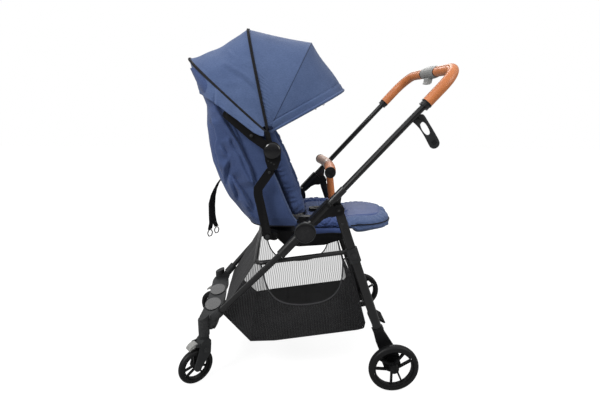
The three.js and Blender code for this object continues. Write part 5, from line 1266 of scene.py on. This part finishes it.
def leg_rest_rim():
    """The outline of the leg rest, seen from above, from its left rear corner round to its right."""
    outline = []
    for i in range(RIM_STEPS + 1):
        share = 0.06 + 0.94 * i / RIM_STEPS
        half = LEG_REST_HALF_WIDTH * math.sqrt(1 - max(share - 0.35, 0) ** 2 / 0.46)
        z = LEG_REST_PIVOT[1] + 22 + 6 * math.sin(share * math.pi * 0.8)
        outline.append(Vector((LEG_REST_PIVOT[0] + 4 + LEG_REST_LENGTH * share, -half, z)))
    end = outline[-1]
    front = [Vector((end.x + 1, end.y * (1 - 2 * k / 9), end.z)) for k in range(1, 9)]
    return [*outline, *front, *[Vector((p.x, -p.y, p.z)) for p in reversed(outline)]]


def skin_of(piece):
    """A search tree of a piece's faces."""
    mesh = piece.data
    return BVHTree.FromPolygons([v.co for v in mesh.vertices], [f.vertices[:] for f in mesh.polygons])


def on_surface(piece, places, proud, drop):
    """Places brought onto a piece's skin, in metres, and smoothed into one line."""
    route = []
    skin = skin_of(piece)
    for place in places:
        spot, normal, _, _ = skin.find_nearest(at(place.x, place.y, place.z - drop))
        route.append(spot + normal * (proud / 1000))
    for _ in range(3):
        inner = [(a + b * 2 + c) / 4 for a, b, c in zip(route, route[1:], route[2:])]
        route = [route[0], *inner, route[-1]]
    return route


# Each pad's node, how far its cover starts inside it, how far it may swell, its voxels, its stitching,
# its cloth, its body and how full it is
PADS = (
    ("back_pad", 4, 9, 5, back_stitching, DENIM_SEAT, "backrest", 0.7),
    ("seat_cushion", 3, 8, 4, cushion_stitching, DENIM_SEAT, "seat", 0.6),
    ("leg_rest", 2, 8, 4, leg_stitching, DENIM, "leg_rest", 0.7),
)
PANELS = {
    "seat_cushion": lambda place, normal: abs(place.y) > 113,
    "leg_rest": lambda place, normal: leg_panel(place) < 1 and normal.z > 0.3,
}


def add_pads():
    """The three filled covers, the leg rest's piping, the harness and the bands beside the cushion."""
    covers = {}
    for node, inset, cap, voxel, stitching, material, body, fill in PADS:
        cover = padded_cover(f"{node}_cover", node, inset, cap, voxel)
        press(cover, stitching)
        finish(cover, material, body)
        if node in PANELS:
            use_panel(cover, DENIM_SMOOTH, PANELS[node])
        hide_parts(node)
        covers[node] = cover
    trim("leg_rest_piping", on_surface(covers["leg_rest"], leg_rest_rim(), 0.8, -2), 0.0021, PIPING, "leg_rest")
    add_harness(covers["back_pad"])
    for side_name, side in SIDES:
        add_skirt_band(side_name, side)


def add_skirt_band(side_name, side):
    """The smooth band that hangs from the cushion's edge over the side of the tray."""
    rows = []
    for i in range(61):
        x = -112 + (46 + 112) * i / 60
        row = []
        for j in range(9):
            share = j / 8
            z = 541 - (19 + 2 * math.sin(i / 9)) * share
            out = 160.2 + 2.2 * math.sin(math.pi * share) + noise.noise(Vector((x * 0.04, share, side))) * 1.2
            row.append(at(x, side * out, z))
        rows.append(row if side > 0 else row[::-1])
    sewn(f"seat_band_{side_name}", rows, 0.0016, DENIM_SMOOTH, "seat")
    low = [row[-1 if side > 0 else 0] for row in rows]
    trim(f"seat_band_hem_{side_name}", low, 0.0022, PIPING, "seat")


# How far up the pad a strap is, and how far out it lies there as a share of the pad's half width
HARNESS_ROUTE = ((34, 0.06), (60, 0.173), (120, 0.253), (200, 0.28), (240, 0.28), (292, 0.28))
# Kind, where it starts and ends up the pad, half its width, its crown, its cloth and its slot
HARNESS_PARTS = (
    ("webbing", 34, 292, 10, 1.4, WEBBING, "webbing"),
    ("sleeve", 128, 286, 17, 8, DENIM_SEAT, "denim_cloth"),
)
HARNESS_STEPS = 44


def add_harness(pad):
    """Shoulder straps that lie on the pad, each with a padded sleeve along its upper part."""
    towards = Vector((-math.cos(BACK_LEAN), 0, -math.sin(BACK_LEAN)))
    skin = skin_of(pad)
    for side_name, side in SIDES:
        for kind, first, last, half, lift, material, slot in HARNESS_PARTS:
            rings = []
            for i in range(HARNESS_STEPS + 1):
                distance = first + (last - first) * i / HARNESS_STEPS
                y = between(HARNESS_ROUTE, distance)[0] * PAD_HALF_WIDTH * side
                end = min(ramp(i, -1, 4), ramp(HARNESS_STEPS - i, -1, 4)) if kind == "sleeve" else 1
                upper, lower = [], []
                for j in range(9):
                    u = j / 4 - 1
                    x, z = on_back(distance, -40)
                    spot, _, _, _ = skin.ray_cast(at(x, y + u * half * (0.8 + 0.2 * end), z), towards)
                    if spot is None:
                        x, z = on_back(distance, 36)
                        spot = at(x, y + u * half, z)
                    crown = lift * end * (1 - abs(u) ** 3 * 0.75)
                    wave = noise.noise(Vector((distance * 0.05, u, side))) * 0.8 if kind == "sleeve" else 0
                    upper.append(spot - towards * ((0.6 + crown + wave) / 1000))
                    lower.append(spot - towards * 0.0003)
                rings.append([*upper, *reversed(lower)])
            piece = finish(lofted(f"shoulder_{kind}_{side_name}", rings, 60), material, "backrest")
            if kind == "webbing":
                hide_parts("harness_straps")


# ------------------------------------------------------------------ basket
FOOT_X = -383.8


def curve_between(a, b, c, d, steps):
    """Points on a curve from a to d that leaves towards b and arrives from c."""
    route = []
    for i in range(1, steps + 1):
        t = i / steps
        route.append(tuple(p * (1 - t) ** 3 + 3 * q * t * (1 - t) ** 2 + 3 * r * t * t * (1 - t) + s * t ** 3
                           for p, q, r, s in zip(a, b, c, d)))
    return route


SCOOP = [*curve_between((-240, 400), (-226, 290), (-170, 276), (-104, 277), 14),
         *curve_between((-104, 277), (-30, 279), (28, 300), (30, 390), 14)]
WALL_BOTTOM = ((0, FOOT_X + 1, 238), (0.2, -286, 134), (0.36, -200, 142), (0.86, 90, 178), (0.94, 113, 184),
               (1, 116, 204))


SIDE_FRONT, SIDE_REAR = 181, 204


def basket_half_width(x):
    share = min(max((x - FOOT_X) / 183, 0), 1)
    return SIDE_FRONT - 2 + (SIDE_REAR - SIDE_FRONT) * share


def wall_top():
    """The upper edge of a side wall, as shares of its length with X and Z."""
    start = [(0, FOOT_X + 1, 238), (0.17, -267, 430), (0.21, -249, 436), (0.25, -240, 400)]
    scoop = [(0.25 + 0.5 * (i + 1) / len(SCOOP), x, z) for i, (x, z) in enumerate(SCOOP)]
    return [*start, *scoop, (0.8, 30, 443), (0.84, 47, 450), (1, 116, 204)]


BINDING_RADIUS = {"top": 0.0027, "foot": 0.0024, "rear": 0.0027}


def wall_rows(side):
    """The rows of a side wall, from its bottom to its scooped top."""
    top_table = wall_top()
    rows = []
    for i in range(201):
        low, high = between(WALL_BOTTOM, i / 200), between(top_table, i / 200)
        row = []
        for j in range(41):
            share = j / 40
            x = low[0] + (high[0] - low[0]) * share
            z = low[1] + (high[1] - low[1]) * share
            slack = math.sin(math.pi * share) * min((high[1] - low[1]) / 120, 1)
            belly = noise.noise(Vector((x * 0.007, z * 0.012, side * 3))) * 7 * slack + 3 * slack
            sway = 2.2 * math.sin(x * 0.045 + z * 0.02) * slack
            row.append(at(x, side * (basket_half_width(x) - 4 + belly + sway), z))
        rows.append(row if side > 0 else row[::-1])
    return rows


def add_basket():
    """The two net walls with their bindings, and the cloth tub between them."""
    for side_name, side in SIDES:
        rows = wall_rows(side)
        piece = sewn(f"basket_wall_{side_name}", rows, 0, BASKET_MESH, "chassis")
        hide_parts("basket")
        top, foot = (-1, 0) if side > 0 else (0, -1)
        edges = {"top": [row[top] for row in rows[34:170]], "foot": [row[foot] for row in rows[2:]],
                 "rear": [row[top] for row in rows[168:]]}
        for label, line in edges.items():
            trim(f"basket_binding_{label}_{side_name}", spaced(line, len(line) // 2), BINDING_RADIUS[label],
                 EDGE_TAPE if label == "top" else PIPING, "chassis")
    add_basket_tub()


TUB_PATH = ((0, -267, 430), (0.3, FOOT_X + 1, 238), (0.42, -286, 134), (0.5, -200, 142), (0.84, 104, 180),
            (0.88, 115, 196), (1, 48, 452))


# Where the tub's sheet turns from its front panel into the floor and then into the rear panel
FRONT_END, FLOOR_START, FLOOR_END, REAR_START = 0.3, 0.42, 0.88, 0.9
REAR_STOP = 0.9415


def in_front_panel(place, normal):
    return place.x < FOOT_X + 96 or (place.x < -262 and place.z > 240)


def add_basket_tub():
    """Front panel, floor and rear panel of the basket, in one length of cloth."""
    rows = []
    for i in range(181):
        t = i / 180
        x, z = between(TUB_PATH, t)
        row = []
        for j in range(61):
            u = j / 30 - 1
            here_x, here_z = x, z
            if t > REAR_START:
                middle = 1 - ramp(abs(u), 0.80, 0.95)
                x_low, z_low = between(TUB_PATH, REAR_START + (t - REAR_START) * (REAR_STOP - REAR_START) / 0.1)
                here_x += (x_low - x) * middle
                here_z += (z_low - z) * middle
            inner = 1 - u ** 4
            sag = 7 * inner * math.sin(math.pi * min(max((t - FLOOR_START) / 0.46, 0), 1))
            pleat = 0.0
            if 0.46 < t < 0.86:
                pleat = -2.4 * max(groove(here_x - k, 4) for k in (-150, -68, 14)) * inner
            ripple = noise.noise(Vector((here_x * 0.012, u * 3.2, here_z * 0.008))) * 5 * inner
            if t < FRONT_END:
                here_x += ripple * 0.8 + 4 * inner * math.sin(math.pi * t / FRONT_END)
            elif t > FLOOR_END:
                here_x += ripple * 0.6
            else:
                here_z += ripple * 0.7 - sag + pleat
            row.append(at(here_x, u * (basket_half_width(here_x) - 4), here_z))
        rows.append(row)
    piece = sewn("basket_tub", rows, 0.0014, BASKET_BLACK, "chassis")
    use_panel(piece, BASKET_NYLON, in_front_panel)
    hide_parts("basket")
    trim("basket_binding_front", rows[0], 0.0026, PIPING, "chassis")
    trim("basket_binding_back", rows[-1], 0.0026, PIPING, "chassis")


# ------------------------------------------------------------------ handle, bumper and fittings
def frame_at(station, y, above=0.0):
    x, z = on_frame(station, above)
    return at(x, y, z)


HANDLE_CORNER = 80
GRIP_START = 412.4
GRIP_RADIUS = 0.0168


def handle_route():
    """Each half of the handle's line, from its lower collar round the corner."""
    halves = []
    for side in (-1, 1):
        half = [(GRIP_START, side * FRAME_HALF_WIDTH)]
        for k in range(13):
            angle = math.pi / 2 * k / 12
            station = CROSSBAR_STATION - HANDLE_CORNER + HANDLE_CORNER * math.sin(angle)
            half.append((station, side * (FRAME_HALF_WIDTH - HANDLE_CORNER + HANDLE_CORNER * math.cos(angle))))
        halves.append(half)
    return halves


def add_grips():
    """Stitched leather sleeves on the handle, with a seam of slanting stitches along the inside."""
    up = Vector((-math.sin(FRAME_SLOPE), 0, math.cos(FRAME_SLOPE)))
    for (side_name, side), half in zip(SIDES, handle_route()):
        line = [frame_at(station, y) for station, y in half]
        line.append(frame_at(CROSSBAR_STATION, side * 63))
        line = spaced(line, 90)
        sleeve = trim(f"grip_leather_{side_name}", line, GRIP_RADIUS, TAN, "handle", 40)
        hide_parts(f"handle_grip_{side_name}")
        stitches = []
        for i in range(2, 88):
            ahead = (line[i + 1] - line[i - 1]).normalized()
            across = ahead.cross(up).normalized()
            lean = 1 if i % 2 else -1
            root = line[i] + up * GRIP_RADIUS
            ends = [root + across * (lean * 0.0014) - ahead * 0.0013, root + up * 0.0005,
                    root - across * (lean * 0.0014) + ahead * 0.0013]
            stitches.append(tube(f"stitch_{i}", ends, 0.0006, 4))
        finish(joined(f"grip_stitching_{side_name}", *stitches), TAN_STITCH, "handle")
        for label, place, towards in (("lower", line[0], line[1] - line[0]),
                                      ("upper", line[-1], line[-1] - line[-2])):
            ahead = towards.normalized()
            trim(f"grip_band_{label}_{side_name}", [place - ahead * 0.003, place + ahead * 0.0012], 0.0176,
                 PLASTIC_BLACK, "handle", 40)


# Each part of the bar: its ends across the stroller, its radius, its finish and its slot
BUMPER_PARTS = (
    ("near", -158, -5, 0.0178, TAN, "tan_leather"),
    # the far half's paler leather is painted sheen, not a different hide
    ("far", 5, 158, 0.0178, TAN_PAINTED_SHEEN, "tan_leather"),
    ("ring", -6, 6, 0.0184, RING_METAL, "black_plastic"),
    ("cap_left", -166, -157, 0.0184, PLASTIC_BLACK, "black_plastic"),
    ("cap_right", 157, 166, 0.0184, PLASTIC_BLACK, "black_plastic"),
)
POST_FOOT, POST_TOP = Vector((20, 0, 550)), Vector((-4, 0, 733))


def bar_at(y):
    """The bumper bar's line, which bends back a little towards its ends."""
    return at(POST_TOP.x - 14 * (abs(y) / 165) ** 2, y, POST_TOP.z)


def add_bumper():
    """Leather bar with end caps and a metal ring, on its post; the paler leather of its far half is painted
    sheen.
    """
    for label, first, last, radius, material, slot in BUMPER_PARTS:
        count = max(int(abs(last - first) / 5), 2)
        line = [bar_at(first + (last - first) * i / count) for i in range(count + 1)]
        piece = trim(f"bumper_{label}", line, radius, material, "bumper", 48)
        if label == "near":
            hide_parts("bumper_bar")
    along = (POST_TOP - POST_FOOT).normalized()
    collar = [at(*(POST_TOP - along * 16)), at(*(POST_TOP - along * 38))]
    trim("bumper_collar", collar, 0.0146, PLASTIC_BLACK, "bumper", 40)


def rivet(name, x, z, y, side, radius, height):
    """A low domed rivet head that stands on a side face."""
    profile = [(0.01, height), (radius * 0.45, height * 0.96), (radius * 0.8, height * 0.7),
               (radius, height * 0.2), (radius, -0.6)]
    return turned(name, profile, at(x, side * y, z), (0, side, 0), 28)


ARM_RIVETS = ((-216, 740, 208.4, 4.4, 1.4), (-270, 854, 208.4, 5.2, 2.2), (-223, 528, 211.2, 7.6, 1.6),
              (-219, 776, 206.9, 2.2, 0.9), (-210, 771, 206.9, 2.2, 0.9), (-201, 766, 206.9, 2.2, 0.9))
FRAME_RIVETS = ((-31, 655, 263.4, 5.0, 1.6), (0, 631, 263.4, 6.5, 2.2), (12.5, 586, 261.0, 4.6, 1.4),
                (12, 697, 258.8, 3.4, 1.2), (-166, 503, 259.4, 4.6, 1.6))


def hub_centre(side_name, side):
    low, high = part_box(f"hub_{side_name}")
    return Vector(((low[0] + high[0]) / 2, low[1] if side < 0 else high[1], (low[2] + high[2]) / 2))


# Profiles of the round pieces: radius, and height along the axis
ARM_DISC = ((0.01, 20), (12, 19.6), (20, 18.4), (24.4, 16.6), (26, 14.2), (26.2, 13))
HUB_DISC = ((0.01, 1.6), (20, 1.5), (28, 1.1), (30.4, 0.2), (30.6, -1))
HUB_RING = ((30.9, -1), (31.2, 1.6), (32.2, 2.2), (33.4, 1.4), (34, -2), (34, -9))


def add_fittings():
    """Rivet heads, the discs on the arms and hubs, and the buttons on the sliders' collars."""
    for side_name, side in SIDES:
        for body, label, table in (("backrest", "arm", ARM_RIVETS), ("chassis", "frame", FRAME_RIVETS)):
            heads = [rivet(f"{label}_rivet_{i}", x, z, y, side, radius, height)
                     for i, (x, z, y, radius, height) in enumerate(table)]
            finish(joined(f"{label}_rivets_{side_name}", *heads), PLASTIC_CHARCOAL, body)
        joint, hub = at(-206, side * 200, 809), hub_centre(side_name, side)
        for name, profile, centre, material, body in (
                ("arm_disc", ARM_DISC, joint, GLOSS_BLACK, "backrest"),
                ("hub_disc", HUB_DISC, hub, GLOSS_BLACK, "chassis"),
                # the ring's charcoal, lighter than the gloss disc, is a painted highlight along its edge
                ("hub_ring_painted_highlight", HUB_RING, hub, PLASTIC_CHARCOAL, "chassis")):
            disc = turned(f"{name}_{side_name}", profile, centre, (0, side, 0), 72)
            finish(disc, material, body)
        first, last = (frame_at(station, side * FRAME_HALF_WIDTH) for station in (-2, -232))
        trim(f"mid_tube_sleeve_{side_name}", [first.lerp(last, k / 12) for k in range(13)], 0.0152, TUBE_BLACK,
             "chassis", 48)
        button = rivet(f"collar_button_{side_name}", 55, 474, 262.5, side, 11, 2.4)
        finish(button, GLOSS_BLACK, "rear_legs")


TAG_OUTLINE = ((214, 903), (224, 914), (236, 925), (246, 927), (262, 904), (285, 872), (303, 845), (303, 834),
               (297, 826), (287, 822), (277, 825), (271, 833), (258, 855), (239, 882), (224, 896))
TAG_HOLE = ((238, 896), (243, 903), (250, 902), (259, 893), (268, 879), (271, 870), (267, 864), (259, 865),
            (249, 874), (241, 886))


TAG_POINTS = 72
# Round the strap's section: the share of the way from its rim to its hole, and the height from its middle
TAG_SECTION = ((0.0, 0.0), (0.0, 1.3), (0.06, 1.8), (0.5, 1.8), (0.94, 1.8), (1.0, 1.3), (1.0, 0.0),
               (1.0, -1.3), (0.94, -1.8), (0.5, -1.8), (0.06, -1.8), (0.0, -1.3))


def tag_place(place, rise):
    return at(place.x, -FRAME_HALF_WIDTH - rise, place.y)


def add_strap():
    """The flat travel strap that hangs from the near handle tube, with its long hole and ribbed end."""
    outer, inner = (spaced(rounded_corners([Vector(p) for p in (*line, line[0])], 2), TAG_POINTS)
                    for line in (TAG_OUTLINE, TAG_HOLE))
    start = min(range(TAG_POINTS), key=lambda k: (outer[k] - inner[0]).length)
    outer = [*outer[start:TAG_POINTS], *outer[:start]]
    rings = [[tag_place(a.lerp(b, share), rise) for a, b in zip(outer, inner)] for share, rise in TAG_SECTION]
    rows = [[*ring, ring[0]] for ring in [*rings, rings[0]]]
    piece = soften(outward(cloth_grid("travel_strap_plate", rows), 1e-5), 50)
    finish(piece, PLASTIC_CHARCOAL, "travel_strap")
    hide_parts("travel_strap")
    ribs = []
    for k in range(6):
        centre = Vector((283, 846)) + Vector((0.55, -0.83)) * (k * 2.4 - 2)
        across = Vector((0.83, 0.55)) * 7
        for rise in (2, -2):
            ends = [tag_place(place, rise) for place in (centre - across, centre + across)]
            ribs.append(tube(f"strap_rib_{k}", ends, 0.0007, 6))
    finish(joined("travel_strap_ribs", *ribs), PLASTIC_BLACK, "travel_strap")


FOOTPAD_PROFILE = ((0.01, 1.0), (0.6, 1.0), (0.93, 0.9), (1.0, 0.4), (1.0, -1.2))
FOOTPAD_TOP = 212.5


def add_footpads():
    """Two oval rubber pads on the footrest, whose mid grey is painted light caught from above."""
    for side_name, side in SIDES:
        rings = []
        for share, height in FOOTPAD_PROFILE:
            angles = [math.pi * k / 36 for k in range(72)]
            rings.append([at(-435 + 29 * share * math.cos(angle), side * 60 + 46 * share * math.sin(angle),
                             FOOTPAD_TOP + height) for angle in angles])
        piece = lofted(f"footrest_pad_{side_name}", rings, 40)
        finish(piece, RUBBER_DOTS_PAINTED_LIGHT, "chassis")


# Radius and width of each kind of wheel, and how far each castor is turned inwards
TYRE_SIZES = {"rear": (85.5, 26), "castor": (63, 24)}
CASTOR_TURNS = {"left": 38, "right": 24}


def tyre_profile(radius, width):
    """A round tread with flat sides, from one bead round to the other."""
    half = width / 2
    inner = radius - width * 0.72 + 0.3
    profile = [(inner, -half * 0.62)]
    for k in range(25):
        angle = math.pi * (k / 24 - 0.5)
        reach = abs(math.cos(angle)) ** 0.62
        along = half * math.copysign(abs(math.sin(angle)) ** 0.8, angle)
        profile.append((inner + 1.5 + (radius - inner - 1.5) * reach, along))
    return [*profile, (inner, half * 0.62), profile[0]]


def add_tyres():
    """Foam tyres, turned on the same axles as their solids."""
    for kind, (radius, width) in TYRE_SIZES.items():
        for side_name, side in SIDES:
            node = f"{kind}_tyre_{side_name}"
            low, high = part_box(node)
            centre = [(a + b) / 2 for a, b in zip(low, high)]
            turn = 0.0 if kind == "rear" else math.radians(CASTOR_TURNS[side_name]) * side
            axis = (math.sin(turn), math.cos(turn), 0)
            tyre = turned(f"{kind}_foam_tyre_{side_name}", tyre_profile(radius, width), centre, axis, 96)
            finish(tyre, TYRE, f"{kind}_wheel_{side_name}")
            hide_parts(node)


dress_nodes()
add_canopy()
add_shell()
add_pads()
add_basket()
add_grips()
add_bumper()
add_fittings()
add_strap()
add_footpads()
add_tyres()
